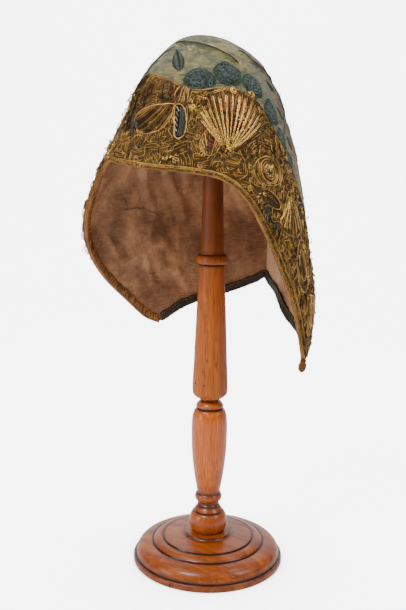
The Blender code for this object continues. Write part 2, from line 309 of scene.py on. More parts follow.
class Threads:
    """Collects laid threads and turns them into one closed mesh."""

    def __init__(self, sides=5):
        self.sides = sides
        self.points, self.faces, self.uvs, self.tones = [], [], [], []
        self.count = 0

    def add(self, path, normals, wide, high, tone=0.5, closed=False, taper=0.0):
        """A thread along the path, wide across the surface and high off it, both half sizes."""
        path, normals = np.asarray(path, float), np.asarray(normals, float)
        many = len(path)
        if many < 2:
            return
        if closed:
            ahead = unit(np.roll(path, -1, axis=0) - np.roll(path, 1, axis=0))
        else:
            ahead = unit(np.gradient(path, axis=0))
        side = unit(np.cross(ahead, normals))
        up = np.cross(side, ahead)
        width = np.broadcast_to(np.asarray(wide, float), (many,)).copy()
        rise = np.broadcast_to(np.asarray(high, float), (many,)).copy()
        if taper and not closed:
            place = np.linspace(0, 1, many)
            thin = np.clip(np.minimum(place, 1 - place) / taper, 0.35, 1)
            width *= thin
            rise *= thin
        turn = np.linspace(0, TAU, self.sides, endpoint=False)
        ring = (
            path[:, None, :]
            + side[:, None, :] * (np.cos(turn)[None, :, None] * width[:, None, None])
            + up[:, None, :] * (np.sin(turn)[None, :, None] * rise[:, None, None])
        )
        length = np.concatenate([[0], np.cumsum(np.linalg.norm(np.diff(path, axis=0), axis=1))])
        n, s, base = many, self.sides, self.count
        i = np.arange(n if closed else n - 1)[:, None]
        j = np.arange(s)[None, :]
        a = base + i * s + j
        b = base + i * s + (j + 1) % s
        c = base + ((i + 1) % n) * s + (j + 1) % s
        d = base + ((i + 1) % n) * s + j
        self.faces.append(np.stack([a, d, c, b], axis=-1).reshape(-1, 4).tolist())
        if not closed:
            self.faces.append([list(range(base, base + s))])
            self.faces.append([list(range(base + (n - 1) * s, base + n * s))[::-1]])
        self.points.append(ring.reshape(-1, 3))
        around = np.broadcast_to(turn / TAU, (n, s))
        self.uvs.append(np.stack([np.repeat(length, s), around.ravel()], axis=1))
        self.tones.append(np.full(n * s, tone))
        self.count += n * s

    def add_many(self, paths, normals, wide, high, tones):
        """Many open threads with as many points each: paths and normals are [thread, point, xyz]."""
        ahead = unit(np.gradient(paths, axis=1))
        side = unit(np.cross(ahead, normals))
        up = np.cross(side, ahead)
        m, n = paths.shape[:2]
        s = self.sides
        turn = np.linspace(0, TAU, s, endpoint=False)
        slim = np.ones(n)
        slim[[0, -1]] = 0.6
        across = (np.cos(turn)[None, :] * slim[:, None] * wide)[None, :, :, None]
        rise = (np.sin(turn)[None, :] * slim[:, None] * high)[None, :, :, None]
        ring = paths[:, :, None, :] + side[:, :, None, :] * across + up[:, :, None, :] * rise
        base = self.count + np.arange(m)[:, None, None] * (n * s)
        i, j = np.arange(n - 1)[None, :, None], np.arange(s)[None, None, :]
        a, b = base + i * s + j, base + i * s + (j + 1) % s
        self.faces.append(np.stack([a, a + s, b + s, b], axis=-1).reshape(-1, 4).tolist())
        ends = base[:, 0] + np.arange(s)
        self.faces.append(ends.tolist())
        self.faces.append((ends + (n - 1) * s)[:, ::-1].tolist())
        length = np.zeros((m, n))
        length[:, 1:] = np.cumsum(np.linalg.norm(np.diff(paths, axis=1), axis=-1), axis=1)
        self.points.append(ring.reshape(-1, 3))
        around = np.broadcast_to(turn / TAU, (m, n, s))
        self.uvs.append(np.stack([np.repeat(length.ravel(), s), around.ravel()], axis=1))
        self.tones.append(np.repeat(np.broadcast_to(np.asarray(tones, float), (m,)), n * s))
        self.count += m * n * s

    def piece(self, name, material, slot, *nodes):
        """Turns all the threads into one finished piece."""
        faces = [face for group in self.faces for face in group]
        uvs, tones = np.vstack(self.uvs), np.concatenate(self.tones)
        made = make_object(name, np.vstack(self.points), faces, material, uvs, tones)
        return finish_piece(made, slot, *nodes)


def crown_shell(outer, inner):
    """Closed shell between two grids [row, column] of the same shape; the first row is a single point
    where all its columns meet. Outer is seen from outside, and the last row is the open edge."""
    rows, columns = outer.shape[:2]
    points = np.vstack([outer[0, :1], outer[1:].reshape(-1, 3), inner[0, :1], inner[1:].reshape(-1, 3)])
    half = 1 + (rows - 1) * columns
    faces = []
    column = np.arange(columns)
    beside = (column + 1) % columns
    for start, flip in ((0, False), (half, True)):
        first = start + 1
        fan = np.stack([np.full(columns, start), first + column, first + beside], axis=1)
        faces += (fan[:, ::-1] if flip else fan).tolist()
        for row in range(rows - 2):
            top, low = first + row * columns, first + (row + 1) * columns
            quad = np.stack([top + column, low + column, low + beside, top + beside], axis=1)
            faces += (quad[:, ::-1] if flip else quad).tolist()
    top, low = 1 + (rows - 2) * columns, half + 1 + (rows - 2) * columns
    faces += np.stack([top + column, low + column, low + beside, top + beside], axis=1).tolist()
    return points, faces


def patch_shell(outer, inner):
    """Closed shell between two grids [row, column] of the same shape, with a wall along all four edges."""
    rows, columns = outer.shape[:2]
    half = rows * columns
    number = np.arange(half).reshape(rows, columns)
    corners = [number[:-1, :-1], number[1:, :-1], number[1:, 1:], number[:-1, 1:]]
    quads = np.stack(corners, axis=-1).reshape(-1, 4)
    edge = np.concatenate([number[:-1, 0], number[-1, :-1], number[:0:-1, -1], number[0, :0:-1]])
    beyond = np.roll(edge, -1)
    walls = np.stack([beyond, edge, edge + half, beyond + half], axis=1)
    faces = quads.tolist() + (quads[:, ::-1] + half).tolist() + walls.tolist()
    return np.vstack([outer.reshape(-1, 3), inner.reshape(-1, 3)]), faces


# Materials


class Board:
    """Adds nodes to a tree and links them. A value that is a (node, socket) pair is linked."""

    def __init__(self, tree):
        self.tree = tree

    def add(self, kind, settings=None, **inputs):
        made = self.tree.nodes.new(kind)
        made.location = (len(self.tree.nodes) * 60, 0)
        for key, value in (settings or {}).items():
            setattr(made, key, value)
        for key, value in inputs.items():
            self.put(made, key, value)
        return made

    def put(self, made, key, value):
        name = key.replace("_", " ")
        socket = made.inputs[int(key[1:])] if key[0] == "i" and key[1:].isdigit() else made.inputs[name]
        if isinstance(value, tuple) and len(value) == 2 and hasattr(value[0], "outputs"):
            self.tree.links.new(value[0].outputs[value[1]], socket)
        elif isinstance(value, bpy.types.Node):
            self.tree.links.new(value.outputs[0], socket)
        else:
            socket.default_value = value

    def ramp(self, source, *stops):
        made = self.add("ShaderNodeValToRGB", None, i0=source)
        ramp = made.color_ramp
        while len(ramp.elements) < len(stops):
            ramp.elements.new(0.5)
        for element, (place, colour) in zip(ramp.elements, stops):
            element.position = place
            element.color = colour if hasattr(colour, "__len__") else (colour, colour, colour, 1)
        return made

    def mix(self, share, first, second, way="MIX"):
        kind = {"data_type": "RGBA", "blend_type": way}
        return self.add("ShaderNodeMix", kind, i0=share, i6=first, i7=second)

    def maths(self, way, first, second=0.0, clamp=False):
        return self.add("ShaderNodeMath", {"operation": way, "use_clamp": clamp}, i0=first, i1=second)

    def times(self, first, second, clamp=False):
        return self.maths("MULTIPLY", first, second, clamp)

    def plus(self, first, second, clamp=False):
        return self.maths("ADD", first, second, clamp)

    def noise(self, vector, scale, detail=3.0, roughness=0.5, distortion=0.0):
        values = {"Scale": scale, "Detail": detail, "Roughness": roughness, "Distortion": distortion}
        return self.add("ShaderNodeTexNoise", None, Vector=vector, **values)

    def stretched(self, place, rotation, scale):
        return self.add("ShaderNodeMapping", None, Vector=place, Rotation=rotation, Scale=scale)

    def tone(self):
        """The number that each point of a mesh carries."""
        return self.add("ShaderNodeAttribute", {"attribute_name": "tone"}), "Fac"


def rgb(*parts):
    """A colour from the 0 to 255 values for red, green and blue that a screen shows."""
    return tuple(((v / 255 + 0.055) / 1.055) ** 2.4 if v > 10 else v / 255 / 12.92 for v in parts) + (1,)


def dimmed(colour, share):
    """The colour with each of its parts times the share."""
    return tuple(v * share for v in colour[:3]) + (1,)


def new_group(name, inputs, outputs):
    """An empty shader group: inputs and outputs map a name to a socket type and, for inputs, a default."""
    group = bpy.data.node_groups.new(name, "ShaderNodeTree")
    for label, (kind, default) in inputs.items():
        socket = group.interface.new_socket(label, in_out="INPUT", socket_type=kind)
        if default is not None:
            socket.default_value = default
    for label, kind in outputs.items():
        group.interface.new_socket(label, in_out="OUTPUT", socket_type=kind)
    board = Board(group)
    return group, board, board.add("NodeGroupInput"), board.add("NodeGroupOutput")


def cloth_weave_group():
    """Plain weave: a height for the bump and a mask of the gaps between threads."""
    group, board, given, out = new_group(
        "cloth weave",
        {"Vector": ("NodeSocketVector", None), "Threads per metre": ("NodeSocketFloat", 1500.0)},
        {"Height": "NodeSocketFloat", "Gaps": "NodeSocketFloat"},
    )
    split = board.add("ShaderNodeSeparateXYZ", None, i0=(given, 0))
    step = board.times((given, 1), TAU)
    across = board.maths("SINE", board.times((split, 0), step))
    along = board.maths("SINE", board.times((split, 1), step))
    woven = board.times(across, along)
    rise = board.plus(board.times(woven, 0.5), 0.5)
    board.put(out, "Height", (rise, 0))
    gaps = board.maths("LESS_THAN", rise, 0.25)
    board.put(out, "Gaps", (gaps, 0))
    return group


def stains_group():
    """Soft blotches and fine dust, as masks from 0 to 1."""
    group, board, given, out = new_group(
        "age stains",
        {
            "Vector": ("NodeSocketVector", None),
            "Blotches": ("NodeSocketFloat", 18.0),
            "Dust": ("NodeSocketFloat", 400.0),
        },
        {"Stain": "NodeSocketFloat", "Dust": "NodeSocketFloat"},
    )
    wide = board.noise((given, 0), (given, 1), 5.0, 0.62, 0.6)
    board.put(out, "Stain", (board.ramp((wide, 0), (0.36, 0.0), (0.66, 1.0)), 0))
    fine = board.noise((given, 0), (given, 2), 3.0, 0.7)
    board.put(out, "Dust", (board.ramp((fine, 0), (0.42, 0.0), (0.68, 1.0)), 0))
    return group


def wood_grain_group():
    """Long fine grain along Z: a tone, a mask of dark pores and a height."""
    group, board, given, out = new_group(
        "wood grain",
        {
            "Vector": ("NodeSocketVector", None),
            "Fibre": ("NodeSocketFloat", 900.0),
            "Growth": ("NodeSocketFloat", 90.0),
        },
        {"Tone": "NodeSocketFloat", "Pores": "NodeSocketFloat", "Height": "NodeSocketFloat"},
    )
    long = board.add("ShaderNodeVectorMath", {"operation": "MULTIPLY"}, i0=(given, 0), i1=(1.0, 1.0, 0.045))
    fibre = board.noise((long, 0), (given, 1), 4.0, 0.65)
    growth = board.noise((long, 0), (given, 2), 3.0, 0.5, 0.8)
    tone = board.plus(board.times((fibre, 0), 0.55), board.times((growth, 0), 0.5))
    board.put(out, "Tone", (tone, 0))
    pores = board.ramp((fibre, 0), (0.3, 1.0), (0.4, 0.0))
    board.put(out, "Pores", (pores, 0))
    board.put(out, "Height", (fibre, 0))
    return group


def twist_group():
    """The spiral of a twisted or wrapped thread, from its length and the way round it."""
    group, board, given, out = new_group(
        "thread twist",
        {"Turns per mm": ("NodeSocketFloat", 1.2), "Plies": ("NodeSocketFloat", 2.0)},
        {"Height": "NodeSocketFloat", "Groove": "NodeSocketFloat"},
    )
    place = board.add("ShaderNodeUVMap", {"uv_map": "thread"})
    split = board.add("ShaderNodeSeparateXYZ", None, i0=(place, 0))
    turns = board.times((split, 0), (given, 0))
    around = board.times((split, 1), (given, 1))
    wave = board.maths("SINE", board.times(board.plus(turns, around), TAU))
    rise = board.plus(board.times(wave, 0.5), 0.5)
    board.put(out, "Height", (rise, 0))
    board.put(out, "Groove", (board.ramp(rise, (0.0, 1.0), (0.45, 0.0)), 0))
    return group


GROUP_MAKERS = {
    "cloth weave": cloth_weave_group,
    "age stains": stains_group,
    "wood grain": wood_grain_group,
    "thread twist": twist_group,
}
GROUPS = {}


def group_node(board, name, **inputs):
    """A node that uses one of the shared groups, which is made the first time it is asked for."""
    if name not in GROUPS:
        GROUPS[name] = GROUP_MAKERS[name]()
    made = board.add("ShaderNodeGroup")
    made.node_tree = GROUPS[name]
    for key, value in inputs.items():
        board.put(made, key, value)
    return made


def start_material(name, **sockets):
    """A new material, its board, its shader and the place in the object, with these sockets set."""
    material = bpy.data.materials.new(name)
    material.use_nodes = True
    board = Board(material.node_tree)
    shader = material.node_tree.nodes["Principled BSDF"]
    for key, value in sockets.items():
        board.put(shader, key, value)
    place = board.add("ShaderNodeTexCoord")
    return material, board, shader, (place, "Object")


def give_bump(board, shader, height, strength, distance):
    """Lets the light play over a height, as if it rose by the distance in metres."""
    bump = board.add("ShaderNodeBump", None, Strength=strength, Distance=distance, Height=height)
    board.put(shader, "Normal", (bump, "Normal"))


def metal_thread(name, bright, tarnish, wear, roughness, metallic, turns=1.1):
    """Wrapped metal thread: bright on its crests, brown where it has tarnished. The higher wear is, the more
    of it is brown; below 0 it is almost all bright."""
    material, board, shader, place = start_material(name, Roughness=roughness, Metallic=metallic)
    tone = board.tone()
    twist = group_node(board, "thread twist", Turns_per_mm=turns, Plies=2.0)
    wide = board.noise(place, 55.0, 4.0, 0.6)
    close = board.noise(place, 900.0, 2.0, 0.6)
    mask = board.plus(board.times((wide, 0), 1.1), board.times((close, 0), 0.45))
    mask = board.plus(mask, board.times(tone, 0.5))
    share = board.ramp(board.times(mask, 0.7), (0.48 + 0.2 * wear, 0.0), (0.82 + 0.15 * wear, 1.0))
    colour = board.mix((share, 0), tarnish, bright)
    hue = board.noise(place, 130.0, 2.0, 0.5)
    greenish, white, reddish = (0.84, 1.0, 0.78, 1), (1, 1, 1, 1), (1.0, 0.88, 0.86, 1)
    cast = board.ramp((hue, 0), (0.36, greenish), (0.5, white), (0.66, reddish))
    colour = board.mix(1.0, (colour, 2), (cast, 0), "MULTIPLY")
    dark = dimmed(tarnish, 0.25)
    grooved = board.mix(board.times((twist, "Groove"), 0.55), (colour, 2), dark)
    board.put(shader, "Base Color", (grooved, 2))
    rough = board.plus(board.times((close, 0), 0.3), roughness - 0.12, True)
    board.put(shader, "Roughness", (rough, 0))
    give_bump(board, shader, (twist, "Height"), 0.5, 0.0002)
    return material


def silk_thread(name, deep, light, roughness=0.42):
    """Stranded silk: deep in the hollows and light where single strands catch the light."""
    sheen = {"Sheen_Weight": 0.08, "Sheen_Roughness": 0.4}
    material, board, shader, place = start_material(name, Roughness=roughness, **sheen)
    tone = board.tone()
    twist = group_node(board, "thread twist", Turns_per_mm=0.5, Plies=3.0)
    close = board.noise(place, 1400.0, 2.0, 0.6)
    share = board.plus(board.times((close, 0), 0.8), board.times(tone, 0.75))
    ramp = board.ramp(share, (0.5, deep), (1.05, light))
    board.put(shader, "Base Color", (ramp, 0))
    give_bump(board, shader, (twist, "Height"), 0.35, 0.0001)
    return material


def lace_ground_material():
    """The brown net that the metal threads are sewn to, with green silk behind its holes."""
    material, board, shader, place = start_material("lace ground", Roughness=0.7, IOR=1.22)
    weave = group_node(board, "cloth weave", Vector=place, Threads_per_metre=420.0)
    stain = group_node(board, "age stains", Vector=place, Blotches=30.0, Dust=500.0)
    brown = board.mix((stain, "Stain"), rgb(56, 40, 20), rgb(102, 76, 42))
    net = board.mix((weave, "Gaps"), (brown, 2), rgb(40, 29, 15))
    peek = board.noise(place, 70.0, 2.0, 0.5)
    green = board.ramp((peek, 0), (0.6, 0.0), (0.68, 0.8))
    mixed = board.mix((green, 0), (net, 2), rgb(38, 50, 34))
    hollow = board.tone()
    dark = board.mix(hollow, (mixed, 2), rgb(16, 26, 22))
    board.put(shader, "Base Color", (dark, 2))
    give_bump(board, shader, (weave, "Height"), 0.6, 0.0004)
    return material


def sage_silk_material():
    """Worn sage silk: ribs that run round the crown, green shadows, warm patches and dark creases."""
    sheen = {"Sheen_Weight": 0.12, "Sheen_Roughness": 0.5}
    material, board, shader, place = start_material("sage silk", Roughness=0.6, **sheen)
    weave = group_node(board, "cloth weave", Vector=place, Threads_per_metre=1100.0)
    stain = group_node(board, "age stains", Vector=place, Blotches=42.0, Dust=300.0)
    long = board.stretched(place, (0.25, -0.3, 0.0), (1.0, 1.0, 3.2))
    streak = board.noise((long, 0), 70.0, 5.0, 0.62, 0.5)
    moss, sage, straw = rgb(84, 86, 34), rgb(150, 140, 66), rgb(200, 180, 104)
    base = board.ramp((streak, 0), (0.32, moss), (0.5, sage), (0.68, straw))
    green = board.noise(place, 46.0, 4.0, 0.6)
    tinted = board.mix((board.ramp((green, 0), (0.42, 0.0), (0.56, 0.9)), 0), (base, 0), rgb(54, 80, 32))
    warm = board.mix(board.times((stain, "Stain"), 0.6), (tinted, 2), rgb(126, 98, 66))
    brown = board.tone()
    patchy = board.times(brown, board.plus((green, 0), 0.5), True)
    warm = board.mix(patchy, (warm, 2), rgb(122, 72, 38))
    wash = board.times(brown, -1.0, True)
    warm = board.mix(wash, (warm, 2), rgb(62, 88, 50))
    crease = board.noise((long, 0), 38.0, 3.0, 0.5, 1.2)
    line = board.ramp((crease, 0), (0.455, 0.0), (0.5, 1.0), (0.545, 0.0))
    creased = board.mix((line, 0), (warm, 2), rgb(36, 48, 26))
    fine = board.noise((long, 0), 105.0, 2.0, 0.5, 1.6)
    line = board.ramp((fine, 0), (0.47, 0.0), (0.5, 0.75), (0.53, 0.0))
    creased = board.mix((line, 0), (creased, 2), rgb(78, 70, 30))
    dusty = board.mix(board.times((stain, "Dust"), 0.4), (creased, 2), rgb(62, 58, 34))
    board.put(shader, "Base Color", (dusty, 2))
    both = board.plus(board.times((weave, "Height"), 0.3), (streak, 0))
    give_bump(board, shader, both, 1.0, 0.002)
    return material


def lining_material():
    """Pink-brown linen, stained and creased, with its crosswise threads showing; its tone darkens it in dark
    patches and with painted shade, and makes it paler with painted light where it is below 0.
    """
    material, board, shader, place = start_material("stained linen with painted shading", Roughness=0.85)
    weave = group_node(board, "cloth weave", Vector=place, Threads_per_metre=1000.0)
    stain = group_node(board, "age stains", Vector=place, Blotches=20.0, Dust=260.0)
    cloudy = board.noise(place, 34.0, 5.0, 0.62, 0.8)
    base = board.ramp((cloudy, 0), (0.3, rgb(166, 112, 72)), (0.62, rgb(220, 166, 120)))
    marked = board.mix(board.times((stain, "Stain"), 0.7), (base, 0), rgb(84, 48, 26))
    # the tone: dark patches and painted shade above 0, painted light below 0
    dark_patches_and_painted_shading = board.tone()
    patchy = board.times(dark_patches_and_painted_shading, (board.ramp((cloudy, 0), (0.25, 1.0), (0.75, 0.55)), 0), True)
    marked = board.mix(patchy, (marked, 2), rgb(92, 56, 28))
    long = board.stretched(place, (0.12, 0.1, 0.0), (1.0, 1.0, 14.0))
    slub = board.noise((long, 0), 90.0, 4.0, 0.6)
    lined = board.mix(board.ramp((slub, 0), (0.45, 0.0), (0.7, 0.4)), (marked, 2), rgb(204, 150, 104))
    dusty = board.mix(board.times((stain, "Dust"), 0.35), (lined, 2), rgb(82, 50, 30))
    # painted light: paler where the tone is below 0
    painted_light_colour = board.mix(board.times(dark_patches_and_painted_shading, -1.0, True), (dusty, 2), rgb(255, 214, 168))
    board.put(shader, "Base Color", (painted_light_colour, 2))
    both = board.plus(board.times((weave, "Height"), 0.25), (cloudy, 0))
    both = board.plus(both, board.times((slub, 0), 0.35))
    give_bump(board, shader, both, 0.8, 0.0014)
    return material


def tape_material(name, low, high, roughness, threads=900.0):
    """Woven tape or ribbon with worn, dusty threads."""
    material, board, shader, place = start_material(name, Roughness=roughness)
    weave = group_node(board, "cloth weave", Vector=place, Threads_per_metre=threads)
    stain = group_node(board, "age stains", Vector=place, Blotches=60.0, Dust=500.0)
    base = board.mix((stain, "Stain"), low, high)
    gaps = board.mix(board.times((weave, "Gaps"), 0.6), (base, 2), dimmed(low, 0.4))
    dusty = board.mix(board.times((stain, "Dust"), 0.4), (gaps, 2), dimmed(low, 0.55))
    board.put(shader, "Base Color", (dusty, 2))
    give_bump(board, shader, (weave, "Height"), 0.5, 0.0004)
    return material


def wood_material(name, pale, mid, deep, roughness, coat, fibre, polish_wear, lying=False, dark_foot=0.0):
    """Turned wood with long grain, dark in its grooves with patina and painted shade, under varnish where
    coat is above 0. lying turns the grain level. The wood is darker below the height dark_foot; where that is
    0, painted shade darkens it up in the coif."""
    varnish = {"Coat_Weight": coat, "Coat_Roughness": 0.1, "Coat_IOR": 1.42}
    material, board, shader, place = start_material(name, Roughness=roughness, IOR=1.36, **varnish)
    turned = board.stretched(place, (0.0, 1.5 if lying else 0.02, 0.3), (1.0, 1.0, 1.0))
    grain = group_node(board, "wood grain", Vector=(turned, 0), Fibre=fibre, Growth=70.0)
    base = board.ramp((grain, "Tone"), (0.34, deep), (0.52, mid), (0.7, pale))
    pores = board.mix(board.times((grain, "Pores"), 0.55), (base, 0), dimmed(deep, 0.45))
    groove_patina_and_shade = board.tone()
    # patina and painted shade in the grooves
    dark = board.mix(groove_patina_and_shade, (pores, 2), dimmed(deep, 0.3))
    split = board.add("ShaderNodeSeparateXYZ", None, i0=place)
    if dark_foot:
        foot_tone_and_coif_shade = board.ramp(board.times((split, 2), 10.0), (10 * dark_foot, 0.4), (10 * dark_foot + 0.1, 0.0))
    else:
        # painted shade: darker up where the post stands inside the coif
        foot_tone_and_coif_shade = board.ramp(board.times((split, 2), 2.0), (0.5, 0.0), (0.56, 0.6), (0.8, 0.95))
    dark = board.mix((foot_tone_and_coif_shade, 0), (dark, 2), dimmed(deep, 0.6))
    wear = board.noise(place, 50.0, 4.0, 0.6)
    rubbed = board.ramp((wear, 0), (0.55, 0.0), (0.75, 1.0))
    worn = board.mix(board.times((rubbed, 0), polish_wear), (dark, 2), pale)
    board.put(shader, "Base Color", (worn, 2))
    rough = board.plus(board.times((wear, 0), 0.25), roughness - 0.12, True)
    board.put(shader, "Roughness", (rough, 0))
    give_bump(board, shader, (grain, "Height"), 0.18, 0.0003)
    return material


# Motifs of the lace: angle in degrees and height in millimetres

LEAF = [(-14.5, 374.7), (-12.5, 380.6), (-8, 383.5), (-2.5, 385.4), (2.5, 385.9), (9.5, 386), (9.5, 380.2)]
LEAF += [(8.5, 375.4), (6, 370.1), (2, 366.8), (-4.5, 365), (-9.5, 367)]
SLIT = [(10.6, 385.4), (13.5, 385.6), (16, 381.5), (17.3, 374), (17.3, 367), (15.6, 362.4), (12.6, 362.8)]
SLIT += [(11.4, 371.5), (10.6, 379)]
LEFT_SLIT = [(-16.5, 380), (-15.2, 381), (-14.6, 376), (-14.2, 370), (-14.8, 364), (-16.2, 364), (-17, 370)]
SCROLL = [(11, 387.5), (8.6, 392), (9.6, 397.5), (13.5, 399.5), (17.5, 397), (20, 392.5), (20, 387.5)]
SCROLL += [(15.5, 386.6)]
FAN = [(38, 352.5), (30, 360), (23, 370), (22.6, 379), (24, 388.5), (29.5, 394), (35.5, 396.5), (42, 396)]
FAN += [(49, 394.8), (56.5, 390), (60.5, 383), (62.5, 376), (60, 368), (49, 359)]
PLUME = [(29, 350), (25, 355), (25.5, 363), (29, 369), (34, 366), (34.5, 359), (32.5, 352)]
RUST = [(28.4, 354.2), (28.8, 360), (31.2, 364.4), (31.4, 358.6), (30, 354)]
ROSETTE = [(59, 350), (66.5, 347.5), (70, 340), (67, 331.5), (59, 329), (51.5, 332), (49.5, 340), (52.5, 347)]
NET_LEAF = [(47.5, 333), (50, 329.5), (57, 326), (62.5, 319), (63, 312.5), (57.5, 314), (51, 320), (48, 326)]
DROP = [(73, 324), (66.5, 312), (62, 300), (69, 293), (78, 291), (87, 296), (84, 308), (78.5, 319)]
FLAP_LEAF = [(83, 288), (77, 281), (73, 268), (74, 256), (79, 249), (86, 257), (90, 270), (89, 282)]
TIP_LEAF = [(88, 244), (83.5, 236), (81.5, 224), (84.5, 214), (91, 220), (95, 231), (93.5, 240)]


def mirrored(rows):
    """The same motif on the other side of the leaf's midline."""
    return [(-4 - angle, height) for angle, height in rows]


# The two sides of the lace: each one's number, how a motif is turned for it, and the sign of its slants.
SIDES = ((0, list, 1), (1, mirrored, -1))


def closed_curve(rows, per_span):
    """A smooth closed curve through the rows, with this many points for each."""
    points = np.array(rows, float)
    share = np.arange(per_span)[:, None] / per_span
    near = [[points[(k + step) % len(points)] for step in (-1, 0, 1, 2)] for k in range(len(points))]
    return np.vstack([catmull(*four, share) for four in near])


def inside(rows, angle, height):
    """True for each angle and height within the closed outline."""
    shape = closed_curve(rows, 4)
    held = np.zeros(np.shape(angle), bool)
    for (a0, h0), (a1, h1) in zip(shape, np.roll(shape, -1, axis=0)):
        crosses = (h0 > height) != (h1 > height)
        if h1 != h0:
            held ^= crosses & (angle < (a1 - a0) * (height - h0) / (h1 - h0) + a0)
    return held


def at(angle, height):
    """The point of the surface at this angle in degrees and height."""
    return surface(np.radians(angle), level_at(height))


def raised(points, normals, off):
    """The points moved along their normals, by one distance or by one for each."""
    return points + normals * (off if np.ndim(off) == 0 else np.asarray(off)[:, None])


def on_cloth(rows, off, spacing=None):
    """Points and normals along rows of angle and height, this far off the surface."""
    rows = np.array(rows, float)
    angle, level = np.radians(rows[:, 0]), level_at(rows[:, 1])
    if spacing:
        points = surface(angle, level)
        total = np.linalg.norm(np.diff(points, axis=0), axis=1).sum()
        line = by_length(np.stack([angle, level], axis=1), points, max(2, int(total / spacing)))
        angle, level = line[:, 0], line[:, 1]
    point, _, _, normal = slopes(angle, level)
    return raised(point, normal, off), normal


def split_way(way, by_angle, by_level):
    """How much angle and level change for each millimetre along a way on the surface."""
    aa, ab, bb = (by_angle * by_angle).sum(-1), (by_angle * by_level).sum(-1), (by_level * by_level).sum(-1)
    wa, wb = (way * by_angle).sum(-1), (way * by_level).sum(-1)
    area = aa * bb - ab * ab
    return (wa * bb - wb * ab) / area, (wb * aa - wa * ab) / area


def march(angle, level, way, distance, steps):
    """Walks over the surface from each start, the given way, for a distance in millimetres."""
    angle, level = np.array(angle, float), np.array(level, float)
    distance = np.broadcast_to(np.asarray(distance, float), angle.shape)
    for _ in range(steps):
        _, by_angle, by_level, normal = slopes(angle, level)
        way = way - normal * (way * normal).sum(axis=-1, keepdims=True)
        way = way / np.linalg.norm(way, axis=-1, keepdims=True)
        turn, sink = split_way(way, by_angle, by_level)
        angle = angle + turn * distance / steps
        level = level + sink * distance / steps
    return angle, level


def inset(distance):
    """Angle and level of the rim's points moved in from the edge by a distance in millimetres."""
    edge, _, _, normal = slopes(LOOP_ANGLE, LOOP_LEVEL)
    along = np.roll(edge, -4, axis=0) - np.roll(edge, 4, axis=0)
    inward = np.cross(normal, along)
    above = surface(LOOP_ANGLE, LOOP_LEVEL - 0.05) - edge
    inward *= np.sign(np.median((inward * above).sum(axis=-1)))
    return march(LOOP_ANGLE, LOOP_LEVEL, inward, distance, 4)


def spot_frame(angle, height):
    """Centre, east, up and outward at a spot of the surface."""
    point, by_angle, _, normal = slopes(np.radians(angle), level_at(height))
    east = by_angle / np.linalg.norm(by_angle)
    up = np.cross(normal, east)
    return point, east, up, normal


def on_spot(spot, flat, off):
    """Lays flat points (east, up) in millimetres round a spot on to the surface."""
    angle0, height0 = spot
    _, east, up, _ = spot_frame(angle0, height0)
    flat = np.asarray(flat, float)
    way = east * flat[:, :1] + up * flat[:, 1:2]
    length = np.linalg.norm(flat, axis=1)
    way = way / np.maximum(length, 1e-9)[:, None] + (length < 1e-9)[:, None] * east
    many = len(flat)
    start = np.full(many, math.radians(angle0)), np.full(many, float(level_at(height0)))
    angle, level = march(*start, way, length, 4)
    point, _, _, normal = slopes(angle, level)
    return raised(point, normal, off), normal


# How far the net's two faces lie off the surface, and how far apart the patches of threads and the curls are.
NET_FOOT, NET_TOP = 1.3, 1.85
PATCH_APART = 12.5
CURL_APART = 8.0
# The regions of the lace. A mirrored motif has the next number, and patches are counted from PATCHES on.
PLAIN, BROW, FACE_BORDER, TOP_BORDER = 1, 2, 3, 4
SCROLL_FILL, FAN_FILL, PLUME_FILL, ROSETTE_FILL, NET_LEAF_FILL = 10, 12, 14, 16, 18
DROP_FILL, FLAP_LEAF_FILL, TIP_LEAF_FILL, LEAF_FILL = 20, 22, 24, 30
PATCHES = 100
CHART_END = math.radians(139)
CHART_LOW = 2.2


class LaceChart:
    """A grid over the lace: where each point lies, the region that holds it and the way its threads run."""

    def __init__(self):
        self.angle_step, self.level_step = math.radians(0.5), 0.02
        angles = np.arange(-CHART_END, CHART_END, self.angle_step)
        levels = np.arange(CHART_LOW, LAST, self.level_step)
        self.angle, self.level = np.meshgrid(angles, levels, indexing="ij")
        self.point, self.by_angle, self.by_level, self.normal = slopes(self.angle, self.level)
        self.height = self.point[..., 2]
        self.degrees = np.degrees(self.angle)
        self.region = np.where(in_lace(self.angle, self.level), PLAIN, 0)
        self.way = np.zeros(self.point.shape)
        self.east = self.by_angle / np.linalg.norm(self.by_angle, axis=-1, keepdims=True)
        self.up = np.cross(self.normal, self.east)

    def claim(self, number, held, way):
        """Gives the lace points that are held to a region, with the way of their threads."""
        held = held & (self.region > 0)
        self.region[held] = number
        self.way[held] = way[held]

    def tilt(self, turn):
        """The way that lies at this angle, in radians, from east towards up."""
        return self.east * np.cos(turn)[..., None] + self.up * np.sin(turn)[..., None]

    def from_spot(self, spot, across=False):
        """Away from a spot, or round it where across is true."""
        away = self.point - at(*spot)
        away = away - self.normal * (away * self.normal).sum(-1, keepdims=True)
        away /= np.maximum(np.linalg.norm(away, axis=-1, keepdims=True), 1e-6)
        return np.cross(self.normal, away) if across else away

    def steps(self):
        """How angle and level change along the way, for each millimetre."""
        return split_way(self.way, self.by_angle, self.by_level)


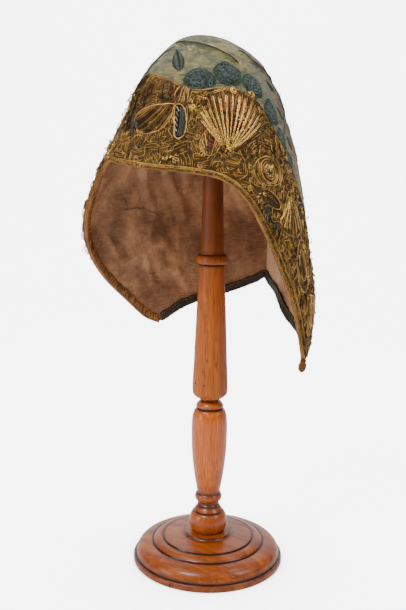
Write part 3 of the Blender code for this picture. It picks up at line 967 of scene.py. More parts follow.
def trace_threads(chart, numbers, spacing, shortest, longest, seed, step=0.8):
    """Lines of [angle, level] that fill these regions along their ways, about one spacing apart."""
    rng = np.random.default_rng(seed)
    by_a, by_l = chart.steps()
    found = np.argwhere(np.isin(chart.region, numbers))
    rng.shuffle(found)
    taken = {}
    close = (0.8 * spacing) ** 2
    point, region = chart.point, chart.region
    wide, tall = region.shape

    def cell(p):
        return int(p[0] // spacing), int(p[1] // spacing), int(p[2] // spacing)

    def free(p, own, order):
        cx, cy, cz = cell(p)
        for x in (cx - 1, cx, cx + 1):
            for y in (cy - 1, cy, cy + 1):
                for z in (cz - 1, cz, cz + 1):
                    for qx, qy, qz, who, place in taken.get((x, y, z), ()):
                        if who == own and abs(place - order) < 4:
                            continue
                        if (qx - p[0]) ** 2 + (qy - p[1]) ** 2 + (qz - p[2]) ** 2 < close:
                            return False
        return True

    lines = []
    for i, j in found[:: max(1, int(spacing * 1.4))]:
        start = point[i, j]
        if not free(start, -1, 0):
            continue
        home = region[i, j]
        own = len(lines)
        kept = [(chart.angle[i, j], chart.level[i, j])]
        places = [tuple(start)]
        for sign in (1, -1):
            angle, level = chart.angle[i, j], chart.level[i, j]
            run, spots = [], []
            ci, cj = i, j
            for order in range(int(longest / step / 2)):
                angle += sign * by_a[ci, cj] * step
                level += sign * by_l[ci, cj] * step
                ci = int(round((angle + CHART_END) / chart.angle_step))
                cj = int(round((level - CHART_LOW) / chart.level_step))
                if not (0 <= ci < wide and 0 <= cj < tall) or region[ci, cj] != home:
                    break
                here = point[ci, cj]
                if not free(here, own, sign * (order + 1)):
                    break
                run.append((angle, level))
                spots.append(tuple(here))
            if sign == 1:
                kept += run
                places += spots
            else:
                kept = run[::-1] + kept
                places = spots[::-1] + places
        if len(kept) * step < shortest:
            continue
        for order, p in enumerate(places[::2]):
            taken.setdefault(cell(p), []).append((*p, own, 2 * order))
        line = np.array(kept)
        for _ in range(2):
            line[1:-1] = (line[:-2] + 2 * line[1:-1] + line[2:]) / 4
        lines.append(line)
    return lines


def settle_patches(chart, apart, seed):
    """Splits the plain lace into small patches of threads that run side by side. Returns their regions."""
    rng = np.random.default_rng(seed)
    cells = np.argwhere(chart.region == PLAIN)
    rng.shuffle(cells)
    seeds = []
    for i, j in cells[::3]:
        here = chart.point[i, j]
        if all(abs(here[0] - q[0]) + abs(here[1] - q[1]) + abs(here[2] - q[2]) > apart for q, _, _ in seeds):
            seeds.append((here, i, j))
    spots = np.array([q for q, _, _ in seeds])
    tree = point_tree(spots)
    broad = wave_noise(spots, 30, seed) * 1.6 + 1.1
    turn = broad + rng.normal(0, 0.75, len(seeds))
    bend = rng.uniform(-0.09, 0.09, len(seeds))
    for i, j in cells:
        here = chart.point[i, j]
        k = tree.find(here)[1]
        chart.region[i, j] = PATCHES + k
        away = here - spots[k]
        side = -chart.east[i, j] * math.sin(turn[k]) + chart.up[i, j] * math.cos(turn[k])
        along = chart.east[i, j] * math.cos(turn[k]) + chart.up[i, j] * math.sin(turn[k])
        lean = bend[k] * (away @ along)
        chart.way[i, j] = along * math.cos(lean) + side * math.sin(lean)
    return list(range(PATCHES, PATCHES + len(seeds)))


def build_chart():
    """Settles the lace's regions and the way of the threads in each."""
    chart = LaceChart()
    angle, height = chart.degrees, chart.height
    brow = (angle < 9) & (angle > -66) & (height > 369 + 0.3 * (angle + 12))
    chart.claim(BROW, brow, chart.way)
    scroll_turn = 1.35 + 0.4 * wave_noise(chart.point, 5, 17)
    chart.claim(SCROLL_FILL, inside(SCROLL, angle, height), chart.tilt(scroll_turn))
    chart.claim(FAN_FILL, inside(FAN, angle, height), chart.from_spot((38, 350)))
    chart.claim(PLUME_FILL, inside(PLUME, angle, height), chart.from_spot((29.5, 346)))
    for side, turn, sign in SIDES:
        rose, drop = turn([(59.5, 339.5), (73.5, 326)])
        chart.claim(ROSETTE_FILL + side, inside(turn(ROSETTE), angle, height), chart.from_spot(rose, True))
        slant = np.full(angle.shape, sign * 0.9)
        chart.claim(NET_LEAF_FILL + side, inside(turn(NET_LEAF), angle, height), chart.tilt(slant))
        chart.claim(DROP_FILL + side, inside(turn(DROP), angle, height), chart.from_spot(drop))
        bend = sign * (1.25 + 0.028 * (height - 268))
        flap_turn = math.pi / 2 + sign * (bend - 1.25)
        chart.claim(FLAP_LEAF_FILL + side, inside(turn(FLAP_LEAF), angle, height), chart.tilt(flap_turn))
        tip_turn = math.pi / 2 + sign * 0.03 * (height - 230)
        chart.claim(TIP_LEAF_FILL + side, inside(turn(TIP_LEAF), angle, height), chart.tilt(tip_turn))
    leaf_turn = np.radians(22 + 42 * np.clip((angle + 14) / 24, 0, 1))
    chart.claim(LEAF_FILL, inside(LEAF, angle, height), chart.tilt(leaf_turn))
    for rows in (SLIT, RUST, LEFT_SLIT):
        chart.region[inside(rows, angle, height)] = 0
    return chart


# Folds of the cloth

# Each fold: how far it rises, its half width, then the angle and height along it.
CROWN_FOLDS = [
    (1.5, 2.4, [(-6.5, 434), (18.5, 431.6), (34, 428), (46.5, 422.5), (52, 418)]),
    (1.3, 2.6, [(68, 426), (78, 420), (97.5, 416), (116, 411)]),
    (1.0, 2.2, [(84, 431), (104, 425), (124, 420), (146, 408)]),
    (0.9, 2.6, [(-44, 424), (-30, 416), (-14, 414)]),
    (1.2, 2.6, [(-120, 428), (-92, 420), (-66, 408), (-48, 402)]),
    (1.1, 2.8, [(96, 408), (102, 392), (108, 372), (114, 350)]),
    (1.2, 3.2, [(150, 420), (152, 396), (149, 366), (146, 330), (148, 296)]),
    (1.0, 3.4, [(206, 424), (212, 392), (214, 356), (216, 320), (212, 286)]),
    (1.0, 3.0, [(234, 414), (240, 380), (238, 346), (240, 312), (236, 276)]),
]
# The soft folds of the lining, which hang in under the crown.
LINING_FOLDS = [
    (2.8, 4.6, [(272, 338), (262, 316), (256, 300)]),
    (3.6, 5.0, [(250, 338), (241, 319), (233, 297)]),
    (2.6, 4.6, [(202, 336), (196, 318), (190, 296)]),
    (1.8, 4.2, [(288, 253), (270, 262), (250, 272)]),
    (2.4, 4.4, [(250, 278), (240, 256), (236, 240)]),
    (1.4, 3.0, [(264, 262), (258, 238)]),
    (1.6, 4.0, [(286, 300), (290, 282), (284, 266)]),
    (2.2, 5.0, [(-34, 372), (-38, 340), (-44, 318)]),
    (1.8, 4.5, [(-96, 392), (-92, 350), (-88, 306), (-86, 268)]),
    (2.0, 5.5, [(150, 396), (140, 350), (132, 300), (126, 258)]),
    (1.6, 4.0, [(172, 380), (166, 338), (160, 292), (156, 262)]),
    (2.2, 5.0, [(198, 388), (206, 344), (214, 300), (220, 256)]),
    (1.8, 4.6, [(236, 372), (232, 330), (236, 288), (242, 246)]),
    (1.6, 4.2, [(250, 330), (256, 300), (262, 262), (260, 236)]),
    (1.4, 3.6, [(112, 360), (108, 316), (104, 276), (98, 240)]),
]


def nearest_on(points, rows):
    """How far each point is from a line on the cloth."""
    line = on_cloth(rows, 0, 2.5)[0]
    flat = points.reshape(-1, 3)
    best = np.full(len(flat), 1e9)
    for start, end in zip(line[:-1], line[1:]):
        way = end - start
        share = np.clip(((flat - start) @ way) / (way @ way), 0, 1)
        best = np.minimum(best, np.linalg.norm(flat - start - share[:, None] * way, axis=1))
    return best.reshape(points.shape[:-1])


def fold_lift(points, folds):
    """How far the folds lift the points: a rounded ridge with a shallow dip on both sides."""
    lift = np.zeros(points.shape[:-1])
    for rise, half, rows in folds:
        away = nearest_on(points, rows) / half
        lift += rise * (np.exp(-(away**2)) - 0.35 * np.exp(-((away - 1.7) ** 2) * 2.5))
    return lift


def loose_share(angle, level):
    """From 0 where the cloth is held under the lace, at the rim or on the head to 1 where it is free."""
    turned = np.degrees(np.mod(angle, TAU))
    bare = np.clip((41 - np.abs(turned - 180)) / 9, 0, 1)
    room = (top_level(angle) - level) * (1 - bare) + (edge_level(angle) - 0.3 - level) * bare
    return np.clip(room * 26 / 8, 0, 1) * np.clip((level - 0.25) / 0.8, 0, 1)


def cloth_columns(columns, rows):
    """Angles and levels [row, column] that cover the cloth from the crown to the rim."""
    turn = np.arange(columns) * TAU / columns
    share = np.linspace(0, 1, rows) ** 0.9
    return np.broadcast_to(turn, (rows, columns)), share[:, None] * edge_level(turn)[None, :]


def angle_and_level(points):
    """Where points near the surface lie on it."""
    level = level_at(points[..., 2])
    centre = np.interp(level, LEVELS, LEVEL_CENTRES)
    return np.arctan2(points[..., 0], centre - points[..., 1]), level


def bare_silk(points):
    """True where the silk isn't under the lace."""
    angle, level = angle_and_level(points)
    return ~in_lace(angle, level + 0.06)


def silk_lift(points, angle, level):
    """How far the silk rises over the plain surface at these points."""
    ripple = 0.28 * wave_noise(points, 13, 3) + 0.3 * wave_noise(points, 34, 5) + 0.3
    rise = settings().fold_rise
    return np.maximum((fold_lift(points, CROWN_FOLDS) * rise + ripple) * loose_share(angle, level), -0.15)


def cloth_grid(columns, rows):
    """Angle, level, point and normal of a grid over the cloth, whose first row is the crown's one point."""
    angle, level = cloth_columns(columns, rows)
    point, _, _, normal = slopes(angle, level)
    normal[0] = (0, 0, 1)
    point[0] = point[0].mean(axis=0)
    return angle, level, point, normal


def cloth_object(name, point, normal, low, high, mark, material):
    """A sheet between two heights over the surface, with a mark for its shading at each point."""
    marks = np.concatenate([[0], mark[1:].ravel(), [0], mark[1:].ravel()])
    points, faces = crown_shell(point + normal * high[..., None], point + normal * low[..., None])
    return make_object(name, points, faces, material, tones=marks)


def add_silk():
    """The silk: brown on the side of +X, and green round each blossom."""
    angle, level, point, normal = cloth_grid(340, 96)
    lift = silk_lift(point, angle, level)
    turned = np.degrees(angle)
    mark = np.clip(1.4 - np.abs(turned - 113) / 20, 0, 1) * np.clip((point[..., 2] - 300) / 40, 0, 1)
    for at_angle, at_height, radius, _ in BLOSSOMS:
        away = np.linalg.norm(point - at(at_angle, at_height), axis=-1) / radius
        mark = mark - 0.75 * np.clip(1.75 - away, 0, 1) * (mark < 0.5)
    made = cloth_object("crown_silk", point, normal, lift, 1.0 + lift, mark, sage_silk_material())
    return finish_piece(made, "silk", "coif_silk")


# Dark patches of the lining: angle, height, half angle, half height, strength. Then its stitched lines.
LINING_DARK_PATCHES = [
    (256, 288, 12, 14, 0.9),
    (283, 286, 7, 12, 0.75),
    (244, 262, 5, 16, 0.6),
    (276, 252, 12, 4, 0.7),
    (284, 316, 9, 7, 0.6),
    (196, 292, 7, 24, 0.55),
    (186, 276, 5, 20, 0.8),
    (262, 240, 8, 5, 0.4),
    (214, 262, 9, 8, 0.4),
]
LINING_SEAMS = [
    [(279, 303), (271, 304.5), (263.5, 303), (257, 300), (251, 295.3), (247, 288), (245.5, 280)],
    [(284, 318), (279, 312), (276, 305)],
    [(262, 246), (258, 244), (255, 246)],
]


def lining_lift(point, angle, level):
    """How far the lining hangs in, as a distance below zero."""
    away = np.clip((edge_level(angle) - level) * 26 / 9 - 0.9, 0, 1) * np.clip((level - 2.2) / 1.2, 0, 1)
    ripple = 0.5 * np.abs(wave_noise(point, 20, 7)), 0.25 * np.abs(wave_noise(point, 8, 8))
    hang = fold_lift(point, LINING_FOLDS) * settings().fold_rise + ripple[0] + ripple[1]
    return -np.maximum(hang, 0) * away


def add_lining():
    """The lining: darker in its dark patches, with painted shade just beyond the centre back and in the
    hollows of its folds, and painted light on the crests of its folds, high up and on the side of +X."""
    angle, level, point, normal = cloth_grid(340, 100)
    lift = lining_lift(point, angle, level)
    degrees, height = np.degrees(angle), point[..., 2]
    mark = np.zeros(height.shape)
    fold = fold_lift(point, LINING_FOLDS)
    for at_angle, at_height, half_angle, half_height, strength in LINING_DARK_PATCHES:
        spread = ((degrees - at_angle) / half_angle) ** 2 + ((height - at_height) / half_height) ** 2
        rim = spread + 0.35 * wave_noise(point, 9, int(at_angle))
        mark = np.maximum(mark, strength * np.clip(0.75 * (1.5 - rim), 0, 0.8))
    turned = np.mod(degrees, 360)
    # painted shade: darker just beyond the centre back
    beyond = np.clip(1 - (turned - 180) / 16, 0, 1) * (turned >= 180)
    # painted shade in the hollows of the folds and painted light on their crests
    mark = np.clip(0.22 + mark - 0.17 * fold + 0.4 * beyond, 0, 1)
    # painted light: paler high up and on the side of +X
    mark = mark - 0.16 * np.clip((height - 318) / 20, 0, 1) - 0.6 * ((turned > 90) & (turned < 180))
    made = cloth_object("lining_cloth", point, normal, lift - 1.3, lift - 0.3, mark, lining_material())
    return finish_piece(made, "lining", "coif_lining")


def add_lining_seam():
    """The mended arc in the lining: small stitches along a line."""
    brown = silk_thread("lining stitches", rgb(92, 54, 28), rgb(150, 104, 66))
    rng = np.random.default_rng(12)
    seam = Threads(4)
    for rows in LINING_SEAMS:
        point, normal = on_cloth(rows, 0.0, 1.1)
        lift = lining_lift(point, *angle_and_level(point))
        path = point + normal * (lift - 1.35)[:, None]
        seam.add(path, -normal, 0.34, 0.3, 0.1)
        for k in range(0, len(path) - 2):
            here, beyond, out = path[k], path[k + 1], normal[k]
            ends = np.stack([here - out * 0.3, (here + beyond) / 2 - out * 0.5, beyond - out * 0.3])
            ends += np.array([-1, 0, 1])[:, None] * np.cross(out, beyond - here) * rng.uniform(0.3, 0.8)
            seam.add(ends, -normal[[k, k, k]], 0.2, 0.22, rng.uniform(0, 1))
    return seam.piece("lining_stitches", brown, "lining")


# Bindings


# How far in from the edge the bindings reach, in millimetres.
BINDING_DEPTH = 6.0


def rounded(section):
    """The closed outline with its corners cut twice."""
    ring = np.array(section, float)
    for _ in range(2):
        after = np.roll(ring, -1, axis=0)
        length = np.linalg.norm(after - ring, axis=1, keepdims=True)
        share = np.minimum(0.25, 0.35 / np.maximum(length, 0.01))
        cut = (after - ring) * share
        ring = np.stack([ring + cut, after - cut], axis=1).reshape(-1, 2)
    return ring


def add_binding(name, first, last, section, material, narrow=((0, 1), (1, 1))):
    """A tape round the rim, narrower where the second row of narrow is below 1. Each corner of the section
    is how far past the edge, or back from it where it is negative, and how far off the surface."""
    many = FACE_COUNT + NAPE_COUNT
    index = np.arange(first, last + 1) % many
    edge, _, _, edge_up = slopes(LOOP_ANGLE, LOOP_LEVEL)
    leg, _, _, leg_up = slopes(*inset(BINDING_DEPTH))
    out = unit(edge - leg)
    ring = rounded(section)
    place = np.arange(len(index)) * 1.3
    reach = np.repeat(ring[None, :, 0], len(index), axis=0)
    off = np.repeat(ring[None, :, 1], len(index), axis=0)
    wave = np.sin(place / 4.1) + 0.6 * np.sin(place / 1.7 + 2)
    reach = np.where(reach < -3, reach + wave[:, None] * 0.35, reach)
    puff = np.sign(off - 0.3) * 0.12 * np.sin(place * 1.6)[:, None]
    off = off + np.where(np.abs(off - 0.3) > 1.2, puff, 0)
    back = np.clip(-reach, 0, None) / BINDING_DEPTH * np.interp(np.arange(len(index)), *narrow)[:, None]
    ahead = np.clip(reach, 0, None)
    e, l, u, v, o = (array[index][:, None, :] for array in (edge, leg, edge_up, leg_up, out))
    points = e + (l - e) * back[..., None] + o * ahead[..., None]
    points = points + off[..., None] * (u + (v - u) * back[..., None])
    n, s = points.shape[:2]
    i, j = np.arange(n - 1)[:, None], np.arange(s)[None, :]
    a, b = i * s + j, i * s + (j + 1) % s
    faces = np.stack([a, b, b + s, a + s], axis=-1).reshape(-1, 4).tolist()
    faces += [list(range(s))[::-1], list(range((n - 1) * s, n * s))]
    made = make_object(name, points.reshape(-1, 3), faces, material)
    build = bmesh.new()
    build.from_mesh(made.data)
    bmesh.ops.recalc_face_normals(build, faces=build.faces)
    build.to_mesh(made.data)
    build.free()
    return made


def add_face_tape():
    """The golden-brown tape of the face edge, which narrows towards the knob."""
    section = [(-6.0, -1.6), (0.3, -1.6), (0.3, 1.0), (1.3, 1.0), (1.3, -2.6), (-6.0, -2.6)]
    tape = tape_material("golden brown tape", rgb(92, 48, 12), rgb(164, 100, 38), 0.6)
    made = add_binding("face_tape", 0, FACE_COUNT, section, tape, ((0, 190, 235, 380), (1, 1, 0.3, 0.2)))
    return finish_piece(made, "face_tape", "face_binding")


def add_tape_stitches():
    """Golden thread oversewn across the face tape, with fuzz along the nape ribbon."""
    gold = silk_thread("oversewing thread", rgb(92, 48, 12), rgb(196, 134, 58))
    dusty = silk_thread("ribbon fuzz", rgb(40, 30, 16), rgb(128, 104, 70))
    rng = np.random.default_rng(14)
    lines = [slopes(*inset(distance)) for distance in (0.2, 2.4, 4.9)]
    across, fuzz = Threads(4), Threads(4)
    for k in np.arange(2, FACE_COUNT - 1, 0.85):
        low, share = int(k), k % 1
        steps = [0, 1, 2] if k < 200 else [0, 0.2, 0.4]
        lean = rng.uniform(-0.6, 0.9)
        rows = []
        for step in steps:
            n, part = int(step), step % 1
            after = lines[min(n + 1, 2)]
            point = lines[n][0][low] * (1 - part) + after[0][low] * part
            ahead = lines[n][0][low + 1] - lines[n][0][low]
            normal = lines[n][3][low]
            depth = 2.72 + 0.12 * (step == steps[1])
            rows.append((point + ahead * (share + lean * step) - normal * depth, -normal))
        path, ways = (np.array([row[m] for row in rows]) for m in (0, 1))
        across.add(path, ways, 0.3, 0.26, rng.uniform(0, 1))
    edge_steps = np.roll(lines[0][0], -1, axis=0) - lines[0][0]
    for k in range(FACE_COUNT + 4, FACE_COUNT + NAPE_COUNT - 4):
        for n, off in ((0, -2.7), (0, 2.4), (2, -2.75), (2, 2.4)):
            for _ in range(2):
                point, normal = lines[n][0][k], lines[n][3][k]
                out = lines[0][0][k] - lines[2][0][k]
                out /= np.linalg.norm(out)
                place = point + normal * off + edge_steps[k] * rng.uniform(-0.5, 0.5)
                if n == 0:
                    place = place + out * rng.uniform(0.6, 1.4)
                step = edge_steps[k] * rng.uniform(-0.7, 0.7) + out * rng.uniform(-0.9, 0.9)
                lift = normal * np.sign(off) * 0.25
                path = np.array([place - step, place + lift, place + step])
                fuzz.add(path, np.array([normal] * 3), 0.2, 0.2, rng.uniform(0, 1))
    return [
        across.piece("tape_stitches", gold, "face_tape"),
        fuzz.piece("ribbon_fuzz", dusty, "nape_ribbon"),
    ]


def add_nape_ribbon():
    """The dark ribbon that clasps the nape edge from both sides."""
    section = [(-6.0, -1.6), (0.3, -1.6), (0.3, 1.3), (-5.4, 1.3)]
    section += [(-5.4, 2.3), (1.3, 2.3), (1.3, -2.6), (-6.0, -2.6)]
    ribbon = tape_material("dark green ribbon", rgb(22, 17, 9), rgb(66, 54, 32), 0.65, 700.0)
    last = FACE_COUNT + NAPE_COUNT - 3
    made = add_binding("nape_ribbon", FACE_COUNT + 3, last, section, ribbon)
    return finish_piece(made, "nape_ribbon", "nape_binding")


def add_knob():
    """The rolled end of the binding: a ball of cord wound round and round, hanging off the corner."""
    edge = slopes(LOOP_ANGLE[FACE_COUNT], LOOP_LEVEL[FACE_COUNT])[0]
    leg_angle, leg_level = inset(BINDING_DEPTH)
    leg = surface(leg_angle[FACE_COUNT], leg_level[FACE_COUNT])
    down = Vector(edge - leg).normalized()
    turn = np.array(down.to_track_quat("Z", "Y").to_matrix())
    centre = edge + np.array(down) * (1.0 + 0.15 + 5.0)
    steps = np.linspace(0, 1, 420)
    tall = math.pi * (0.02 + 0.96 * steps)
    wind = steps * TAU * 11
    ball = np.stack([np.sin(tall) * np.cos(wind), np.sin(tall) * np.sin(wind), -np.cos(tall)], axis=1)
    cord = Threads(6)
    cord.add(centre + (ball * (2.9, 2.9, 4.3)) @ turn.T, (ball * (1, 1, 0.5)) @ turn.T, 0.5, 0.62, 0.4)
    share = np.linspace(0, 1, 90)
    wind = share * TAU * 4
    out = 1.7 + 0.6 * np.cos(share * math.pi)
    neck = np.stack([out * np.cos(wind), out * np.sin(wind), -3.6 - 4.2 * share], axis=1)
    cord.add(centre + neck @ turn.T, (neck * (1, 1, 0)) @ turn.T, 0.5, 0.6, 0.3)
    core = bmesh.new()
    bmesh.ops.create_uvsphere(core, u_segments=16, v_segments=10, radius=1)
    points = np.array([v.co for v in core.verts]) * (2.75, 2.75, 4.1)
    base = cord.count
    cord.faces.append([[base + v.index for v in f.verts] for f in core.faces])
    core.free()
    cord.points.append(centre + points @ turn.T)
    cord.uvs.append(np.zeros((len(points), 2)))
    cord.tones.append(np.zeros(len(points)))
    cord.count += len(points)
    tan = metal_thread("tan wound cord", rgb(178, 116, 56), rgb(84, 46, 20), 0.1, 0.5, 0.4)
    return cord.piece("knob_cord", tan, "face_tape", "binding_knob")


# Lace


def near_line(chart, line, limit):
    """For the chart's lace points: how far the line is, and the way along it there."""
    tree = point_tree(line)
    along = np.gradient(line, axis=0)
    away = np.full(chart.region.shape, 1e3)
    way = np.zeros(chart.point.shape)
    for i, j in np.argwhere(chart.region > 0):
        _, k, distance = tree.find(chart.point[i, j])
        if distance < limit:
            away[i, j] = distance
            way[i, j] = along[k]
    return away, way


def settle_borders(chart):
    """Borders along the face edge and the lace's top, and bare lace at the nape ribbon."""
    nape = surface(LOOP_ANGLE[FACE_COUNT:], LOOP_LEVEL[FACE_COUNT:])
    away, _ = near_line(chart, nape, 6.6)
    chart.region[away < 6.6] = 0
    face = surface(LOOP_ANGLE[: FACE_COUNT + 1], LOOP_LEVEL[: FACE_COUNT + 1])
    away, way = near_line(chart, face, 2.4)
    chart.claim(FACE_BORDER, away < 2.4, way)
    for part in (slice(0, FACE_COUNT + 41), slice(-40, None)):
        away, way = near_line(chart, surface(LOOP_TOP_ANGLE[part], LOOP_TOP_LEVEL[part]), 2.2)
        chart.claim(TOP_BORDER, (away < 2.2) & (chart.region < FACE_BORDER), way)


def add_lace_net():
    """The ground that all the threads are sewn to."""
    over = np.degrees(LOOP_TOP_ANGLE)
    right = [k for k in range(FACE_COUNT, FACE_COUNT + 60) if over[k] <= LACE_ENDS["right"][0][0]]
    left = [k for k in range(len(LOOP) - 60, len(LOOP)) if over[k] >= LACE_ENDS["left"][0][0]]
    columns = np.array(left + list(range(FACE_COUNT)) + right)
    low_angle, low_level = LOOP_ANGLE.copy(), LOOP_LEVEL.copy()
    in_angle, in_level = inset(6.3)
    low_angle[FACE_COUNT:], low_level[FACE_COUNT:] = in_angle[FACE_COUNT:], in_level[FACE_COUNT:]
    low_angle[0], low_level[0] = in_angle[0], in_level[0]
    a0, l0, a1, l1 = LOOP_TOP_ANGLE[columns], LOOP_TOP_LEVEL[columns], low_angle[columns], low_level[columns]
    shift = np.where(columns >= FACE_COUNT + 100, TAU, 0)
    a0, a1 = a0 - shift, a1 - shift
    share = np.linspace(0, 1, 40)[:, None]
    angle, level = a0 + (a1 - a0) * share, l0 + (l1 - l0) * share
    point, _, _, normal = slopes(angle, level)
    rough = 0.12 * wave_noise(point, 5, 12)
    outer = point + normal * (NET_TOP + rough)[..., None]
    inner = point + normal * NET_FOOT
    points, faces = patch_shell(outer, inner)
    turned = np.degrees(angle_and_level(points)[0])
    hollow = inside(SLIT, turned, points[:, 2]) | inside(LEFT_SLIT, turned, points[:, 2])
    made = make_object("lace_net", points, faces, lace_ground_material(), tones=hollow.astype(float))
    return finish_piece(made, "metal_thread", "lace_band")


# How much duller the threads of the flap are.
FLAP_TARNISH = 0.4


def lay_lines(threads, lines, seed, off, wide, high, tones, taper=0.12):
    """Lays traced lines as threads, from every second point. tones is the lowest and the highest tone."""
    rng = np.random.default_rng(seed)
    for line in lines:
        kept = line[::2] if len(line) % 2 else np.vstack([line[::2], line[-1:]])
        if len(kept) < 3:
            continue
        point, _, _, normal = slopes(kept[:, 0], kept[:, 1])
        base, pace, start = rng.uniform(-0.18, 0.22), rng.uniform(0.5, 1.3), rng.uniform(0, 6)
        lift = off + base + 0.16 * np.sin(np.arange(len(kept)) * pace + start)
        scale = rng.uniform(0.8, 1.15)
        worn = FLAP_TARNISH * np.clip((math.degrees(kept[:, 0].mean()) - 62) / 20, 0, 1)
        tone = rng.uniform(*tones) - worn
        threads.add(point + normal * lift[:, None], normal, wide * scale, high * scale, tone, False, taper)


def curl(threads, spot, radius, turns, start, off, wide, high, tone):
    """A thread that winds in from a ring to its middle."""
    steps = max(10, int(turns * 14))
    share = np.linspace(0, 1, steps)
    out = radius * (1 - 0.82 * share)
    turn = start + share * turns * TAU
    flat = np.stack([out * np.cos(turn), out * np.sin(turn)], axis=1)
    point, normal = on_spot(spot, flat, off + 0.5 * share)
    threads.add(point, normal, wide, high, tone)


def ring(threads, spot, radius, off, wide, tone, squash, turn):
    """A small closed oval of cord."""
    around = np.linspace(0, TAU, 10, endpoint=False)
    flat = np.stack([radius * np.cos(around), radius * squash * np.sin(around)], axis=1)
    spin = np.array([[math.cos(turn), math.sin(turn)], [-math.sin(turn), math.cos(turn)]])
    point, normal = on_spot(spot, flat @ spin, off)
    threads.add(point, normal, wide, 0.3, tone, True)


def outline(threads, rows, off, wide, high, tone):
    """A cord round a motif."""
    shape = closed_curve(rows, 6)
    point, normal = on_cloth(np.vstack([shape, shape[:1]]), off, 1.3)
    threads.add(point[:-1], normal[:-1], wide, high, tone, True)


def along_rim(rim, spans):
    """Angles and heights at equal steps along a rim."""
    rows = np.array(rim, float)
    return by_length(rows, at(*rows.T), spans)


def fan_ribs(threads, foot, rim, many, wide, off, tone_range, seed):
    """Pairs of bright cords from the foot of a fan to its rim."""
    rng = np.random.default_rng(seed)
    for tip in along_rim(rim, many - 1):
        base = np.array(foot) + (tip - foot) * rng.uniform(0.06, 0.2)
        tip = np.array(foot) + (tip - foot) * rng.uniform(0.86, 0.97)
        share = np.linspace(0, 1, 13)[:, None]
        rows = base + (tip - base) * share
        point, normal = on_cloth(rows, 0.0)
        side = np.cross(normal, unit(np.gradient(point, axis=0)))
        for sign in (-1, 1):
            apart = sign * (0.2 + 0.34 * share) + rng.normal(0, 0.06)
            lift = off + 0.7 * np.sin(math.pi * share**0.8) + rng.uniform(-0.1, 0.1)
            half = wide * (0.75 + 0.4 * share[:, 0]) * rng.uniform(0.85, 1.1)
            path = point + side * apart + normal * lift
            threads.add(path, normal, half, half * 0.9, rng.uniform(*tone_range))


FAN_FOOT = (38, 351.5)
BIG_RIM = [(23.2, 377), (24, 388.5), (29.5, 394.3), (35.5, 396.8), (42, 396.4), (49, 395.2)]
BIG_RIM += [(56.5, 390.4), (60.5, 383), (62.3, 377)]
DROP_RIM = [(60.5, 302), (62.5, 297), (69, 294), (78, 292), (86, 296.5), (85, 305)]


def fill(threads, chart, numbers, tracing, seeds, off, half, tones, taper=0.12):
    """Fills regions of the lace with threads. tracing is the spacing, the shortest and the longest thread,
    and seeds is one for the tracing and one for the laying."""
    lines = trace_threads(chart, numbers, *tracing, seeds[0])
    lay_lines(threads, lines, seeds[1], off, *half, tones, taper)


def add_lace_threads(chart):
    """The threads that fill the lace: patches, a looser upper layer, the brow's net, borders and motifs."""
    dull = metal_thread("tarnished gold thread", rgb(194, 144, 72), rgb(32, 21, 8), 0.15, 0.34, 0.85)
    warm = metal_thread("gold thread", rgb(222, 170, 92), rgb(44, 29, 11), 0.1, 0.3, 0.88)
    rose = metal_thread("copper thread", rgb(190, 132, 82), rgb(50, 28, 14), 0.12, 0.36, 0.85)

    strands = Threads()
    patches = settle_patches(chart, PATCH_APART, 5)
    tracing = (settings().thread_spacing / MM, 2.4, 30)
    fill(strands, chart, patches, tracing, (21, 31), 2.15, (0.34, 0.44), (0.0, 1.35), 0.05)

    over = Threads(4)
    turn = (wave_noise(chart.point, 15, 61) + wave_noise(chart.point, 38, 62)) * 4.2
    plain = chart.region >= PATCHES
    chart.region[plain] = PLAIN
    chart.way[plain] = chart.tilt(turn)[plain]
    fill(over, chart, [PLAIN], (3.4, 3, 14), (28, 38), 2.85, (0.3, 0.34), (0.2, 1.4), 0.25)

    net = Threads(4)
    brow = chart.region == BROW
    rows = ((0.15, 1.1, 9, 2.1, 0.36, 0.9, 7, 41), (1.62, 4.2, 80, 2.5, 0.4, 0.25, 24, 42))
    for turn, gap, longest, off, half, sway, size, seed in rows:
        chart.way[brow] = chart.tilt(turn + sway * wave_noise(chart.point, size, seed))[brow]
        fill(net, chart, [BROW], (gap, 2.4, longest), (seed, seed), off, (half, half * 0.9), (-0.4, 0.75))

    borders = Threads()
    fill(borders, chart, [FACE_BORDER], (1.15, 6, 400), (22, 32), 2.1, (0.42, 0.4), (0.2, 0.9))
    fill(borders, chart, [TOP_BORDER], (1.05, 6, 400), (23, 33), 2.2, (0.42, 0.4), (0.0, 0.6))

    fills = Threads()
    scrolls = [SCROLL_FILL, PLUME_FILL]
    fill(fills, chart, scrolls, (1.15, 3, 60), (24, 34), 2.5, (0.4, 0.42), (0.1, 1.2))
    pairs = (ROSETTE_FILL, DROP_FILL, FLAP_LEAF_FILL, TIP_LEAF_FILL)
    twins = [number + side for number in pairs for side in (0, 1)]
    fill(fills, chart, twins, (1.25, 3, 60), (25, 35), 2.4, (0.42, 0.42), (0.1, 1.0))
    fill(fills, chart, [LEAF_FILL], (1.3, 3, 60), (26, 36), 2.4, (0.42, 0.42), (-0.1, 0.85))

    between = Threads(4)
    fill(between, chart, [FAN_FILL], (1.15, 2, 24), (27, 37), 2.3, (0.38, 0.4), (0.2, 1.2))

    strands.piece("lace_strands", dull, "metal_thread")
    over.piece("upper_strands", warm, "metal_thread")
    net.piece("forehead_net", dull, "metal_thread")
    borders.piece("lace_borders", warm, "metal_thread")
    fills.piece("motif_strands", warm, "metal_thread")
    between.piece("fan_infill", rose, "metal_thread")


# Where small curls lie: from and to which angle and height, and how many are tried.
SMALL_CURLS = [(-66, -16, 350, 402, 70), (96, 124, 214, 340, 70), (-124, -96, 214, 340, 40)]
